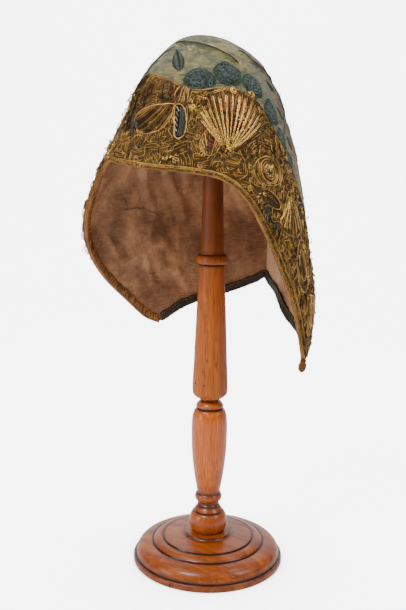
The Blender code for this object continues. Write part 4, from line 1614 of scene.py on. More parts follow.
# Heaps of bright coils: angle and height of the middle, size and how many.
COIL_HEAPS = [
    ((21, 384), 4.4, 20),
    ((38, 354.5), 3.6, 12),
    ((24.5, 390), 2.4, 8),
    ((60, 342), 3.0, 8),
    ((74, 319), 2.4, 8),
    ((52, 322), 4.0, 7),
    ((86, 280), 5.0, 9),
    ((84, 243), 4.0, 6),
    ((9, 347), 5.0, 8),
    ((-30, 352), 6.0, 8),
    ((-29, 384), 3.6, 16),
    ((-46, 354.5), 3.2, 12),
    ((-84, 290), 6.0, 9),
    ((46, 372), 9.0, 18),
]


def chart_region(chart, spot):
    """The region of the lace at an angle and height, 0 off it."""
    away = np.abs(chart.degrees - spot[0]) + np.abs(chart.height - spot[1])
    i, j = np.unravel_index(np.argmin(away), away.shape)
    return chart.region[i, j] if away[i, j] < 3 else 0


def scaled(rows, share):
    """A motif drawn smaller round its own middle."""
    middle = np.mean(rows, axis=0)
    return [tuple(middle + (np.array(row) - middle) * share) for row in rows]


def add_lace_motifs(chart):
    """The fans, the cords round the motifs, and the curls that lie over all."""
    bright = metal_thread("bright gold cord", rgb(250, 196, 108), rgb(84, 52, 18), 0.0, 0.2, 1.0, 0.9)
    yellow = metal_thread("yellow gold cord", rgb(228, 178, 102), rgb(60, 40, 16), 0.05, 0.26, 0.9, 0.8)
    rng = np.random.default_rng(77)
    fans, cords = Threads(6), Threads(5)
    fan_ribs(fans, FAN_FOOT, BIG_RIM, 14, 0.3, 2.9, (0.2, 1.3), 51)
    for tip in along_rim(BIG_RIM, 24)[1::2]:
        rows = [tuple(np.array(FAN_FOOT) + (tip - FAN_FOOT) * share) for share in (0.3, 0.6, 0.9)]
        point, normal = on_cloth(rows, 2.5)
        cords.add(point, normal, 0.26, 0.3, rng.uniform(0, 0.5))
    for spot in ((42.5, 396.1), (55.5, 394.3)):
        curl(fans, spot, 2.9, 2.0, rng.uniform(0, 6), 2.8, 0.36, 0.4, 0.8)
    for spot in along_rim(BIG_RIM, 26):
        ring(cords, spot, 1.4, 2.7, 0.28, rng.uniform(0.1, 0.9), 0.6, rng.uniform(0, 3))
    for rows, half in ((SLIT, 0.42), (PLUME, 0.28)):
        outline(cords, rows, 2.7, half, half, 0.7)
    for side, turn, _ in SIDES:
        drop_foot, rose = turn([(73.5, 321), (59, 339.5)])
        fan_ribs(fans, drop_foot, turn(DROP_RIM), 8, 0.24, 2.8, (0.1, 1.0), 53 + side)
        for k in range(8):
            around = TAU * k / 8 + 0.3
            out = np.array([[3.3 * math.cos(around), 3.3 * math.sin(around)]])
            point, normal = on_spot(rose, out, 0.0)
            spot = np.degrees(angle_and_level(point)[0])[0], point[0, 2]
            ring(cords, spot, 1.5, 2.9, 0.26, rng.uniform(0.3, 1.2), 0.7, rng.uniform(0, 3))
        for rows, half in ((ROSETTE, 0.3), (NET_LEAF, 0.32), (DROP, 0.28)):
            outline(cords, turn(rows), 2.7, half, half, rng.uniform(0.3, 0.9))
        for rows in (FLAP_LEAF, TIP_LEAF):
            outline(cords, turn(rows), 2.7, 0.36, 0.36, rng.uniform(0.3, 0.7))
        for rows in (FLAP_LEAF, TIP_LEAF):
            outline(cords, turn(scaled(rows, 0.6)), 2.7, 0.34, 0.36, rng.uniform(0.2, 0.9))
        for k in range(9):
            low = np.array([48.2 + 0.9 * k, 332.5 - 1.3 * k])
            high = low + (3.4 + 0.3 * k, 3.0 - 1.1 * k)
            point, normal = on_cloth(turn([tuple(low), tuple((low + high) / 2), tuple(high)]), 2.8)
            cords.add(point, normal, 0.3, 0.3, 0.2)
    outline(cords, LEAF, 2.8, 0.4, 0.4, 0.8)

    curls = Threads(4)
    held = np.argwhere(chart.region == PLAIN)
    rng.shuffle(held)
    placed = []
    for i, j in held:
        here = chart.point[i, j]
        if all(np.linalg.norm(here - p) > CURL_APART for p in placed):
            placed.append(here)
            spot = (chart.degrees[i, j], chart.height[i, j])
            size, turns = rng.uniform(1.6, 3.4), rng.uniform(0.6, 1.5)
            off = rng.uniform(2.9, 3.8)
            curl(curls, spot, size, turns, rng.uniform(0, 6), off, 0.3, 0.32, rng.uniform(0.1, 1.3))
        if len(placed) > settings().curls:
            break
    for low, high, foot, top, many in SMALL_CURLS:
        for _ in range(many):
            spot = (rng.uniform(low, high), rng.uniform(foot, top))
            if chart_region(chart, spot) > 0:
                start, tone = rng.uniform(0, 6), rng.uniform(-0.1, 1.0)
                curl(curls, spot, rng.uniform(0.8, 1.7), 1.1, start, rng.uniform(3.3, 4.6), 0.28, 0.3, tone)
    return [
        fans.piece("lace_fans", bright, "metal_thread"),
        cords.piece("outline_cords", yellow, "metal_thread"),
        curls.piece("lace_curls", yellow, "metal_thread"),
    ]


def add_sparkle():
    """Short bits of bright wire coil, sewn on in little heaps."""
    bright = metal_thread("bright wire coil", rgb(255, 206, 112), rgb(170, 104, 34), -0.2, 0.24, 1.0, 2.4)
    rng = np.random.default_rng(5)
    bits = Threads(6)
    for spot, size, many in COIL_HEAPS:
        middle = rng.normal(0, size * 0.5, (many, 2))
        way = rng.uniform(0, math.pi, many)
        long = rng.uniform(0.7, 1.5, many)
        flat = stitches(middle, way, long)
        off = 3.1 + rng.uniform(0, 0.5, (many, 1)) + np.array([0, 0.25, 0])
        point, normal = on_spot(spot, flat.reshape(-1, 2), off.ravel())
        paths, normals = point.reshape(many, 3, 3), normal.reshape(many, 3, 3)
        bits.add_many(paths, normals, 0.46, 0.48, rng.uniform(0.3, 1.2, many))
    return [bits.piece("bright_coils", bright, "metal_thread")]


def twisted(path, normals, radius, pitch, strands=2):
    """The paths of the strands that twist round a line, and their normals."""
    ahead = unit(np.gradient(path, axis=0))
    side = unit(np.cross(ahead, normals))
    up = np.cross(side, ahead)
    length = np.concatenate([[0], np.cumsum(np.linalg.norm(np.diff(path, axis=0), axis=1))])
    found = []
    for k in range(strands):
        turn = TAU * (length / pitch + k / strands)
        way = side * np.cos(turn)[:, None] + up * np.sin(turn)[:, None]
        found.append((path + way * radius, way))
    return found


def loop_line(distance, off, first, last, spacing):
    """A line along the rim, this far in from it and off the surface, with points at this spacing."""
    angle, level = inset(distance)
    index = np.arange(first, last + 1)
    rows = np.stack([angle[index], level[index]], axis=1)
    point = surface(rows[:, 0], rows[:, 1])
    total = np.linalg.norm(np.diff(point, axis=0), axis=1).sum()
    rows = by_length(rows, point, int(total / spacing))
    point, _, _, normal = slopes(rows[:, 0], rows[:, 1])
    return point + normal * off, normal


def roughened(path, amount, size, seeds):
    """The path pushed about at random, with one seed for each direction."""
    return path + amount * np.stack([wave_noise(path, size, seed) for seed in seeds], axis=1)


def add_edge_braid():
    """The braid along the face edge, two cords round the edge itself and the loops that stand off it."""
    yellow = metal_thread("braid of gold thread", rgb(210, 158, 84), rgb(56, 36, 14), 0.15, 0.28, 0.9, 1.3)
    rng = np.random.default_rng(9)
    braid = Threads(4)
    path, normal = loop_line(0.9, 2.2, 3, FACE_COUNT - 3, 0.5)
    path = roughened(path, 0.22, 3.0, (71, 72, 73))
    half = 0.3 * (1 + 0.3 * wave_noise(path, 2.2, 74))
    for strand, way in twisted(path, normal, 0.34, 2.8, 3):
        braid.add(strand, way, half, half, rng.uniform(0.0, 0.8))
    edge, edge_normal = loop_line(0.0, 0.0, 100, FACE_COUNT - 3, 0.5)
    back, _ = loop_line(2.0, 0.0, 100, FACE_COUNT - 3, 0.5)
    nearest = point_tree(back)
    out = unit(np.array([point - back[nearest.find(point)[1]] for point in edge]))
    for off in (0.9, -0.5):
        path = roughened(edge + out * 1.35 + edge_normal * off, 0.2, 2.6, (75, 76, 77))
        half = 0.3 * (1 + 0.3 * wave_noise(path, 2.0, 78))
        for strand, way in twisted(path, out, 0.3, 2.6):
            braid.add(strand, way, half, half, rng.uniform(0.1, 0.9))
    picots = Threads(4)
    path, normal = loop_line(0.0, 1.9, 6, FACE_COUNT - 6, 2.3)
    ahead = unit(np.gradient(path, axis=0))
    out = np.cross(ahead, normal)
    inner, _ = loop_line(3.0, 1.9, 6, FACE_COUNT - 6, 2.3)
    out *= np.sign(np.median((out * (path - inner[: len(path)] if len(inner) >= len(path) else out)).sum(-1)))
    for k in range(len(path)):
        if k < 0.28 * len(path) or rng.uniform() < 0.35:
            continue
        size = rng.uniform(0.3, 1.0)
        turn = np.linspace(0, TAU, 9, endpoint=False)
        flat = np.cos(turn)[:, None] * ahead[k] * size * 1.1 + (np.sin(turn) + 0.75)[:, None] * out[k] * size
        lift = normal[k] * (rng.uniform(-0.5, 0.5) + 0.2 * np.sin(2 * turn)[:, None])
        ways = np.broadcast_to(normal[k], flat.shape)
        picots.add(path[k] + flat + lift, ways, 0.26, 0.26, rng.uniform(0.2, 0.9), True)
    for k in rng.integers(int(0.2 * len(path)), len(path), 200):
        size = rng.uniform(0.6, 1.4) * (1.25 if k < 0.45 * len(path) else 0.75)
        turn = np.linspace(0, TAU, 10, endpoint=False)
        spin = rng.uniform(-0.7, 0.7)
        rise = (np.sin(turn + spin) * 0.7 + 0.55)[:, None]
        flat = np.cos(turn)[:, None] * ahead[k] * size + rise * out[k] * size
        lift = normal[k] * (rng.uniform(-0.2, 1.6) + 0.35 * np.sin(2 * turn + spin)[:, None])
        ways = np.broadcast_to(normal[k], flat.shape)
        picots.add(path[k] + flat + lift, ways, 0.24, 0.24, rng.uniform(0, 0.6), True)
    return [
        braid.piece("edge_braid", yellow, "metal_thread"),
        picots.piece("edge_loops", yellow, "metal_thread"),
    ]


# Where green silk shows between the threads: its middle, its width and height, and how many stitches.
GREEN_SPOTS = [
    ((54.5, 312), 3.0, 9.0, 16),
    ((58.5, 300), 3.0, 7.0, 10),
    ((-12.5, 372), 2.6, 3.4, 7),
    ((59, 339.5), 2.4, 3.0, 8),
    ((-24, 377), 2.0, 4.0, 5),
    ((-8, 356), 7.0, 3.0, 6),
    ((76, 288), 4.0, 4.0, 5),
    ((-59, 340), 2.4, 3.0, 8),
    ((-54.5, 310), 3.0, 9.0, 12),
]


def add_slit_work():
    """What lies in the two dark slits beside the leaf, and the small red-brown leaves."""
    pale = silk_thread("pale pink silk", rgb(70, 44, 34), rgb(206, 170, 146))
    olive = silk_thread("olive silk", rgb(26, 30, 20), rgb(104, 102, 78))
    rust = silk_thread("red brown silk", rgb(60, 16, 10), rgb(126, 52, 36))
    rng = np.random.default_rng(15)
    moss = silk_thread("moss green silk", rgb(6, 20, 14), rgb(52, 78, 58))
    knots, strands, red, leaves = Threads(6), Threads(5), Threads(5), Threads(4)
    for k in range(11):
        height = 383.5 - k * 1.75
        angle = 12.0 + (0.5 if k % 2 else -0.3)
        rows = [(angle - 0.3, height + 0.65), (angle, height), (angle + 0.3, height - 0.65)]
        point, normal = on_cloth(rows, 2.4)
        knots.add(point, normal, 0.45, 0.5, rng.uniform(0.1, 0.9))
    for k in range(5):
        rows = [(13.2 + 0.75 * k, 384 - 0.4 * k), (14.3 + 0.75 * k, 376)]
        rows += [(13.9 + 0.72 * k, 368), (13.2 + 0.5 * k, 364)]
        point, normal = on_cloth(rows, 2.1, 1.4)
        strands.add(point, normal, 0.3, 0.32, rng.uniform(0.0, 0.5))
    for k in range(4):
        rows = [(-16.4 + 0.5 * k, 380), (-16.8 + 0.5 * k, 372), (-16.2 + 0.5 * k, 365)]
        point, normal = on_cloth(rows, 2.0, 1.4)
        strands.add(point, normal, 0.3, 0.3, rng.uniform(0.0, 0.3))
    for spot, wide, high, many in GREEN_SPOTS:
        for _ in range(many):
            middle = rng.normal(0, 1, 2) * (wide * 0.45, high * 0.45)
            way = rng.normal(math.pi / 2, 0.5)
            step = np.array([math.cos(way), math.sin(way)]) * rng.uniform(1.0, 2.4)
            flat = np.stack([middle - step, middle + rng.normal(0, 0.2, 2), middle + step])
            point, normal = on_spot(spot, flat, 3.0)
            leaves.add(point, normal, 0.42, 0.34, rng.uniform(0, 0.6))
    for k in range(9):
        share = k / 8
        low = np.array(RUST[0]) * (1 - share) + np.array(RUST[2]) * share
        rows = [tuple(low + (-0.9, 0.9)), tuple(low + (0.3, 0.2)), tuple(low + (1.5, -0.7))]
        point, normal = on_cloth(rows, 2.4)
        red.add(point, normal, 0.5, 0.42, rng.uniform(0, 1))
    return [
        knots.piece("pale_knots", pale, "silk"),
        strands.piece("olive_strands", olive, "silk"),
        red.piece("red_brown_leaves", rust, "silk"),
        leaves.piece("green_peeks", moss, "silk"),
    ]


# Silk needlework of the crown

# Each blossom: angle, height, radius, and how much of it is an arch open below.
BLOSSOMS = [
    (22, 403, 10.2, 0.0),
    (41, 409.5, 9.4, 0.0),
    (60, 401.5, 8.8, 0.0),
    (77, 383, 9, 0.0),
    (84, 363.5, 7.5, 0.0),
    (89.5, 348, 5.5, 0.0),
    (-30, 404, 10.5, 0.0),
    (-49, 408, 11, 0.0),
    (-68, 394, 10, 0.35),
    (-79, 372, 9, 0.0),
    (-90, 348, 7.5, 0.0),
    (118, 392, 9, 0.0),
    (128, 352, 10, 0.2),
    (133, 306, 9, 0.0),
    (168, 412, 9.5, 0.0),
    (178, 364, 10.5, 0.0),
    (182, 316, 9.5, 0.2),
    (222, 398, 9.5, 0.0),
    (228, 352, 10, 0.0),
    (222, 306, 9, 0.0),
]
# Stems: angle and height along each.
STEMS = [
    [(-12, 433), (6, 432.5), (20, 431), (34, 427.5), (46.5, 422), (52, 417)],
    [(66, 428), (78, 420), (97, 415), (114, 409), (117, 398)],
    [(-24, 418), (-14, 426), (-6, 430)],
    [(86, 362), (96, 372), (106, 384), (116, 388)],
    [(112, 404), (124, 388), (130, 366), (130, 340), (136, 318)],
    [(150, 430), (160, 422), (172, 398), (178, 378), (176, 350), (182, 328), (180, 300)],
    [(210, 424), (220, 406), (226, 380), (230, 362), (226, 334), (224, 312)],
    [(-52, 424), (-44, 418), (-32, 414)],
    [(-84, 420), (-76, 404), (-84, 384), (-92, 362)],
]
# Leaves: angle and height of the foot and of the tip, and the widest half width in millimetres.
LEAVES = [
    (-1, 427, 8.5, 411, 4.6),
    (-16, 419.5, -26, 413, 1.8),
    (88, 408, 96, 400, 2.6),
    (92, 388, 99, 378, 2.4),
    (96, 366, 103, 355, 2.4),
    (102, 398, 108, 410, 2.6),
    (122, 376, 112, 368, 3.0),
    (136, 334, 146, 326, 3.2),
    (146, 400, 156, 392, 3.2),
    (186, 392, 196, 384, 3.2),
    (168, 342, 158, 334, 3.4),
    (190, 300, 200, 294, 3.0),
    (206, 376, 214, 368, 3.0),
    (236, 378, 246, 370, 3.2),
    (236, 330, 246, 322, 3.0),
    (-104, 404, -96, 394, 3.0),
    (-60, 426, -70, 420, 2.8),
]


def sew(threads, spot, flat, wide, high, tones, off=1.25):
    """Stitches on the silk: flat is [stitch, point, 2] round the spot, in millimetres."""
    m, n = flat.shape[:2]
    point, normal = on_spot(spot, flat.reshape(-1, 2), 0.0)
    keep = bare_silk(point).reshape(m, n).all(axis=1)
    rise = off + silk_lift(point, *angle_and_level(point))
    middle = np.ones(n) * 0.12
    middle[[0, -1]] = -0.25
    laid = (point + normal * (rise + np.tile(middle, m))[:, None]).reshape(m, n, 3)
    ways = normal.reshape(m, n, 3)[keep]
    threads.add_many(laid[keep], ways, wide, high, np.broadcast_to(tones, (m,))[keep])


def stitches(middle, way, long):
    """Straight stitches of three points each: their middles, directions and half lengths."""
    step = np.stack([np.cos(way), np.sin(way)], axis=-1) * long[:, None]
    return np.stack([middle - step, middle, middle + step], axis=1)


def add_needlework():
    """Blossoms of knots with green stitches round them, stems and leaves."""
    teal = silk_thread("teal silk", rgb(2, 8, 14), rgb(90, 120, 114))
    green = silk_thread("green silk", rgb(6, 20, 10), rgb(40, 64, 30))
    rng = np.random.default_rng(63)
    knots, halos = Threads(4), Threads(4)
    for angle, height, radius, arch in BLOSSOMS:
        spot = (angle, height)
        count = int(TAU * radius / 0.85)
        for low, high in ((0.08, 0.45), (0.4, 0.8), (0.76, 1.0), (0.95, 1.12), (1.03, 1.18)):
            turn = (np.arange(count) + rng.uniform(-0.3, 0.3, count)) * TAU / count
            inner = radius * (low + rng.uniform(-0.04, 0.04, count))
            outer = radius * (high + rng.uniform(-0.07, 0.05, count)) * (1 + 0.05 * np.sin(5 * turn))
            out = np.linspace(0, 1, 3)[None, :] * (outer - inner)[:, None] + inner[:, None]
            flat = np.stack([out * np.cos(turn)[:, None], out * np.sin(turn)[:, None]], axis=-1)
            held = ((np.sin(turn) > -0.55) | (arch == 0)) & (rng.uniform(0, 1, count) > (low - 0.95) * 2.2)
            sew(halos, spot, flat[held], 0.46, 0.3, rng.uniform(0.1, 0.9, held.sum()))
        steps = max(2, int(radius * 0.92 / 1.12))
        for k in range(steps):
            out = radius * 0.9 * (k + 0.6) / steps
            if out < radius * arch:
                continue
            count = max(4, int(TAU * out / 1.25))
            turn = (np.arange(count) + rng.uniform(-0.3, 0.3, count)) * TAU / count + rng.uniform(0, 1)
            if arch:
                turn = turn[np.sin(turn) > -0.35]
            middle = np.stack([out * np.cos(turn), out * np.sin(turn)], axis=-1)
            way = turn + math.pi / 2 + rng.normal(0, 0.7, len(turn))
            long = rng.uniform(0.5, 0.85, len(turn))
            flat = stitches(middle, way, long)
            bright = np.clip(rng.beta(0.75, 1.95, len(turn)) + 0.25 * (k % 2) - 0.1, 0, 1)
            sew(knots, spot, flat, 0.52, 0.5, bright, 1.5)
    stems = Threads(4)
    for rows in STEMS:
        for shift in (-0.35, 0.35):
            point, normal = on_cloth(rows, 0.0, 1.2)
            side = np.cross(normal, unit(np.gradient(point, axis=0)))
            laid = point + side * shift + normal * (1.2 + silk_lift(point, *angle_and_level(point)))[:, None]
            keep = bare_silk(point)
            if keep.sum() > 3:
                stems.add(laid[keep], normal[keep], 0.42, 0.34, rng.uniform(0.1, 0.5))
    for foot_angle, foot, tip_angle, tip, half in LEAVES:
        middle = ((foot_angle + tip_angle) / 2, (foot + tip) / 2)
        centre, east, up, _ = spot_frame(*middle)
        ends = [at(foot_angle, foot) - centre, at(tip_angle, tip) - centre]
        start, end = (np.array([p @ east, p @ up]) for p in ends)
        way = end - start
        long = np.linalg.norm(way)
        way /= long
        cross = np.array([-way[1], way[0]])
        many = int(long / 0.7)
        share = (np.arange(many) + 0.5) / many
        out = half * np.sin(math.pi * share) ** 0.75
        for sign in (-1, 1):
            on = start + way * (long * share)[:, None]
            tipward = on + cross * (sign * out)[:, None] + way * (0.55 * out)[:, None]
            flat = np.stack([on, (on + tipward) / 2, tipward], axis=1)
            sew(halos, middle, flat, 0.44, 0.3, rng.uniform(0.0, 0.6, many))
    return [
        knots.piece("blossom_knots", teal, "silk"),
        halos.piece("green_stitches", green, "silk"),
        stems.piece("stem_stitches", green, "silk"),
    ]


# Turned stand

# Turned profiles from the middle of one end to the middle of the other: radius and height.
BASE_PROFILE = [
    (0, 0), (64.2, 0), (65.1, 0.95), (65.1, 4.8), (64.4, 5.5), (62.8, 5.7), (62.6, 7.4),
    (61.6, 11), (58.9, 14.2), (54.4, 16.1), (49.6, 16.9), (47.9, 16.5), (47.2, 18), (44.4, 19.8),
    (41.2, 20.6), (39, 20.2), (38.4, 21.6), (30.6, 22.3), (26, 22.7), (20.8, 23.3), (19.6, 24.2),
    (19.1, 25.2), (18, 25.85), (0, 25.85),
]
BALUSTER_PROFILE = [
    (0, 26.15), (13.4, 26.15), (15.7, 29.5), (16.4, 34.5), (15.9, 39), (14.2, 42.8), (13, 43.8),
    (12.2, 44.1), (12.4, 45.2), (10.4, 48), (9.3, 48.9), (9.6, 50.2), (8.8, 51.2), (8.8, 53),
    (10.9, 54.4), (11.8, 57), (11.2, 59.7), (10, 60.9), (10.1, 63), (10.9, 68), (12, 74),
    (13.3, 83), (14.6, 95), (15.2, 106), (15.4, 117), (15.2, 126), (14.5, 131.5), (13, 135.4),
    (12, 136.6), (10.8, 136.9), (10.9, 137.8), (11.8, 138.6), (11.7, 140.2), (9.9, 142.6), (7.8, 144.4),
    (7.4, 145.85), (0, 145.85),
]
POST_PROFILE = [
    (0, 146.15), (8.6, 146.15), (11.2, 147), (14, 149.4), (15, 152.4), (14.9, 163), (14.1, 179),
    (13.6, 193), (12.9, 209), (11.9, 231), (11, 247), (10.9, 258), (10.9, 260.8), (10.3, 261.3),
    (12.2, 262.2), (13.2, 264.2), (13.2, 266.6), (12.2, 268.9), (10.2, 269.9), (9.8, 271.4), (8.3, 330),
]
HEAD_PROFILE = [(7.4, 0), (13, 4), (23, 8.5), (26, 13), (24.4, 19), (17.6, 24.6), (9, 27.6), (0, 28.5)]


def smooth_profile(profile, sharp=0.75, spacing=0.9):
    """The profile with smooth curves between its sharp corners, and a dark share at its inner corners: patina
    and painted shade.
    """
    rows = np.array(profile, float)
    steps = np.diff(rows, axis=0)
    heading = np.unwrap(np.arctan2(steps[:, 1], steps[:, 0]))
    bend = np.concatenate([[9], np.diff(heading), [9]])
    breaks = [k for k in range(len(rows)) if abs(bend[k]) > sharp]
    line = []
    for start, end in zip(breaks[:-1], breaks[1:]):
        run = rows[start : end + 1]
        padded = np.vstack([2 * run[0] - run[1], run, 2 * run[-1] - run[-2]])
        for k in range(len(run) - 1):
            many = min(max(2, int(np.linalg.norm(run[k + 1] - run[k]) / spacing)), 14)
            share = np.arange(many)[:, None] / many
            line.append(catmull(padded[k], padded[k + 1], padded[k + 2], padded[k + 3], share))
    line = np.vstack(line + [rows[-1:]])
    line[:, 0] = np.maximum(line[:, 0], 0)
    # dark patina and painted shade at the inner corners: a narrow dark line and a wider soft falloff
    dark = np.zeros(len(line))
    for k in range(1, len(rows) - 1):
        if bend[k] < -0.45:
            away = np.linalg.norm(line - rows[k], axis=1)
            strength = min(1, -bend[k] / 0.8)
            dark = np.maximum(dark, np.clip(1.8 - away / 1.05, 0, 1) * strength)
            dark = np.maximum(dark, np.clip(0.6 - away / 5.5, 0, 1) * strength)
    return line, dark


def add_turned(name, profile, material, slot, node, around=112):
    """A piece of turned wood, with this many points round it."""
    line, dark = smooth_profile(profile)
    turn = np.arange(around) * TAU / around
    inner = line[1:-1]
    across = inner[:, :1] * np.cos(turn), inner[:, :1] * np.sin(turn)
    ringed = np.stack([*across, np.repeat(inner[:, 1:], around, axis=1)], axis=-1)
    points = np.vstack([[[0, 0, line[0, 1]]], ringed.reshape(-1, 3), [[0, 0, line[-1, 1]]]])
    tones = np.concatenate([[0], np.repeat(dark[1:-1], around), [0]])
    many = len(inner)
    j = np.arange(around)
    beside = (j + 1) % around
    faces = np.stack([np.zeros(around, int), 1 + beside, 1 + j], axis=1).tolist()
    for k in range(many - 1):
        a, b = 1 + k * around, 1 + (k + 1) * around
        faces += np.stack([a + j, a + beside, b + beside, b + j], axis=1).tolist()
    last = 1 + (many - 1) * around
    faces += np.stack([last + j, last + beside, np.full(around, len(points) - 1)], axis=1).tolist()
    made = make_object(name, points, faces, material, tones=tones)
    made.data.set_sharp_from_angle(angle=math.radians(38))
    return finish_piece(made, slot, node)


def add_stand():
    """The foot, the baluster and the post, whose head reaches as high as the node that it stands for."""
    tones = rgb(172, 88, 6), rgb(130, 57, 1), rgb(84, 31, 0)
    glossy = wood_material("polished wood", *tones, 0.42, 0.36, 620.0, 0.08, lying=True)
    tones = rgb(212, 112, 14), rgb(176, 80, 6), rgb(120, 48, 2)
    worn = wood_material("worn polished wood", *tones, 0.44, 0.5, 900.0, 0.08, dark_foot=0.0605)
    tones = rgb(190, 106, 30), rgb(152, 72, 12), rgb(96, 38, 4)
    waxed = wood_material("waxed wood", *tones, 0.52, 0.06, 1100.0, 0.1)
    node = bpy.data.objects["stand_post"]
    top = max((node.matrix_world @ Vector(corner)).z for corner in node.bound_box) / MM
    head = [(radius, top - HEAD_PROFILE[-1][1] + height) for radius, height in HEAD_PROFILE]
    return [
        add_turned("stand_base_turned", BASE_PROFILE, glossy, "polished_wood", "stand_base"),
        add_turned("stand_baluster_turned", BALUSTER_PROFILE, worn, "polished_wood", "stand_baluster"),
        add_turned("stand_post_turned", POST_PROFILE + head, waxed, "waxed_wood", "stand_post", 72),
    ]


# Marks in the wood, at an angle: how far out, from and to which height, and the half width.
WOOD_MARKS = [
    (3.5, 65.2, 0.5, 4.8, 0.6),
    (5.5, 65.2, 2.2, 4.7, 0.3),
    (-24, 15.0, 160, 161.6, 0.6),
    (12, 15.0, 159.4, 161, 0.6),
    (6, 15.0, 171, 173.4, 0.3),
    (50, 14.4, 176, 180, 0.22),
    (20, 14.2, 181, 183, 0.25),
]


def add_wood_marks():
    """A short crack in the rim of the base, small holes in the post and scratches on the base."""
    dark = silk_thread("dark crack", rgb(18, 8, 2), rgb(48, 22, 8), 0.8)
    marks = Threads(4)
    for angle, radius, low, high, half in WOOD_MARKS:
        turn = math.radians(angle)
        way = np.array([math.sin(turn), -math.cos(turn), 0.0])
        path = np.stack([way * radius + (0, 0, low + (high - low) * t) for t in (0, 0.5, 1)])
        marks.add(path, np.broadcast_to(way, path.shape), half, 0.12, 0.2)
    for x, y, long in ((-17, -10, 2.6), (-14, -15, 2.0), (-18, -6, 1.6), (-10, -20, 2.2), (-5, -26, 1.4)):
        away = math.hypot(x, y)
        rise = np.interp(away, [18, 23, 30.6, 38.4], [25.85, 23.6, 22.3, 21.6]) + 0.05
        steps = np.array([(0, 0, 0), (0.4, 0.5, 0), (0.5, 1, 0)])
        path = np.array([x, y, rise]) + long * steps
        marks.add(path, np.broadcast_to([0.0, 0.0, 1.0], path.shape), 0.55, 0.12, 0.2)
    return marks.piece("wood_marks", dark, "polished_wood")


# Where stray threads stand off the silk: angle and height.
STRAY_SPOTS = [(104, 408), (108, 396), (112, 384), (114, 372), (116, 356), (113, 340), (-56, 396), (116, 318)]


def add_stray_threads():
    """A few fine broken threads that stand off the silk."""
    hair = silk_thread("stray silk thread", rgb(70, 68, 60), rgb(150, 146, 134))
    rng = np.random.default_rng(2)
    strays = Threads(4)
    for angle, height in STRAY_SPOTS:
        centre, east, up, out = spot_frame(angle, height)
        share = np.linspace(0, 1, 12)[:, None]
        way = up * rng.uniform(-1, 1) + east * rng.uniform(-0.4, 0.6)
        bow = np.sin(math.pi * share) * rng.uniform(-2, 2)
        path = centre + out * (1.2 + rng.uniform(3, 6.5) * share) + way * share * rng.uniform(4, 9) + up * bow
        strays.add(path, np.broadcast_to(east, path.shape), 0.16, 0.16, 0.5)
    return [strays.piece("stray_threads", hair, "silk")]


# Floor, light and camera

CAMERA_TURN = math.radians(32)
CAMERA_TILT = math.radians(10.4)
CAMERA_ROLL = math.radians(0.8)
CAMERA_AWAY, CAMERA_ASIDE, CAMERA_HEIGHT = 0.7, -0.007, 0.355
PAPER_GLOW = 5.2
LOOK = Vector((-math.sin(CAMERA_TURN), math.cos(CAMERA_TURN), 0))
RIGHT = Vector((math.cos(CAMERA_TURN), math.sin(CAMERA_TURN), 0))
UP = Vector((0, 0, 1))
# Lights: name, place along the camera's look, to its right and up, target, size, power and colour.
MIDDLE = Vector((0, 0, 0.25))
LIGHTS = [
    ("key light", (-0.8, -0.7, 1.5), MIDDLE, (0.6, 0.6), 24, (1, 0.98, 0.95)),
    ("side light", (-0.6, 1.2, 1.2), MIDDLE, (0.6, 0.9), 12, (1, 0.99, 0.97)),
    ("top light", (0.2, 0, 1.7), MIDDLE, (1.2, 1.0), 19, (0.97, 0.98, 1)),
    ("low light", (-0.5, -1.1, 0.35), Vector((0.03, 0, 0.27)), (0.4, 0.5), 4.5, (1, 0.97, 0.93)),
    ("back light", (0.2, 0, 1.9), LOOK * 1.5 + UP * 0.9, (2.2, 0.8), 30, (0.98, 0.99, 1)),
]


def add_backdrop():
    """A pale sheet that runs along the floor and up behind, glowing for the camera, with a painted contact
    shadow in its glow where things stand close.
    """
    profile = [(-1.6, 0.0), (0.9, 0.0)]
    profile += [(0.9 + 0.7 * math.sin(t), 0.7 - 0.7 * math.cos(t)) for t in np.linspace(0.1, math.pi / 2, 14)]
    profile += [(1.6, 2.6)]
    points = [LOOK * away + RIGHT * side + UP * high for away, high in profile for side in (-2.4, 2.4)]
    faces = [[2 * k, 2 * k + 1, 2 * k + 3, 2 * k + 2] for k in range(len(profile) - 1)]
    material, board, shader, place = start_material("pale paper", Roughness=0.9)
    cloud = board.noise(place, 2.2, 3.0, 0.5)
    colour = settings().floor_colour
    tint = board.mix((cloud, 0), (*(v * 0.97 for v in colour), 1), (*colour, 1))
    board.put(shader, "Base Color", (tint, 2))
    ray = board.add("ShaderNodeLightPath")
    # painted contact shadow: the glow is darker where ambient occlusion finds things close by
    near = board.add("ShaderNodeAmbientOcclusion", {"samples": 8}, Distance=0.05)
    painted_contact_shadow = board.ramp((near, 1), (0.2, 0.25), (0.95, 1.0))
    shaded = board.mix(1.0, (painted_contact_shadow, 0), (0.97, 0.97, 1.0, 1), "MULTIPLY")
    lit = board.mix((ray, "Is Camera Ray"), (0, 0, 0, 1), (shaded, 2))
    board.put(shader, "Emission Color", (lit, 2))
    board.put(shader, "Emission Strength", PAPER_GLOW)
    fine = board.noise(place, 900.0, 2.0, 0.5)
    give_bump(board, shader, (fine, 0), 0.05, 0.0002)
    made = make_object("backdrop", np.array(points) / MM, faces, material)
    return made


def add_light(name, steps, target, size, power, colour):
    """A rectangular light, steps away along the camera's look, to its right and up."""
    place = LOOK * steps[0] + RIGHT * steps[1] + UP * steps[2]
    light = bpy.data.lights.new(name, "AREA")
    light.shape = "RECTANGLE"
    light.size, light.size_y = size
    light.energy = power
    light.color = colour
    lamp = bpy.data.objects.new(name, light)
    lamp.location = place
    lamp.rotation_euler = (target - place).to_track_quat("-Z", "Y").to_euler()
    bpy.context.scene.collection.objects.link(lamp)


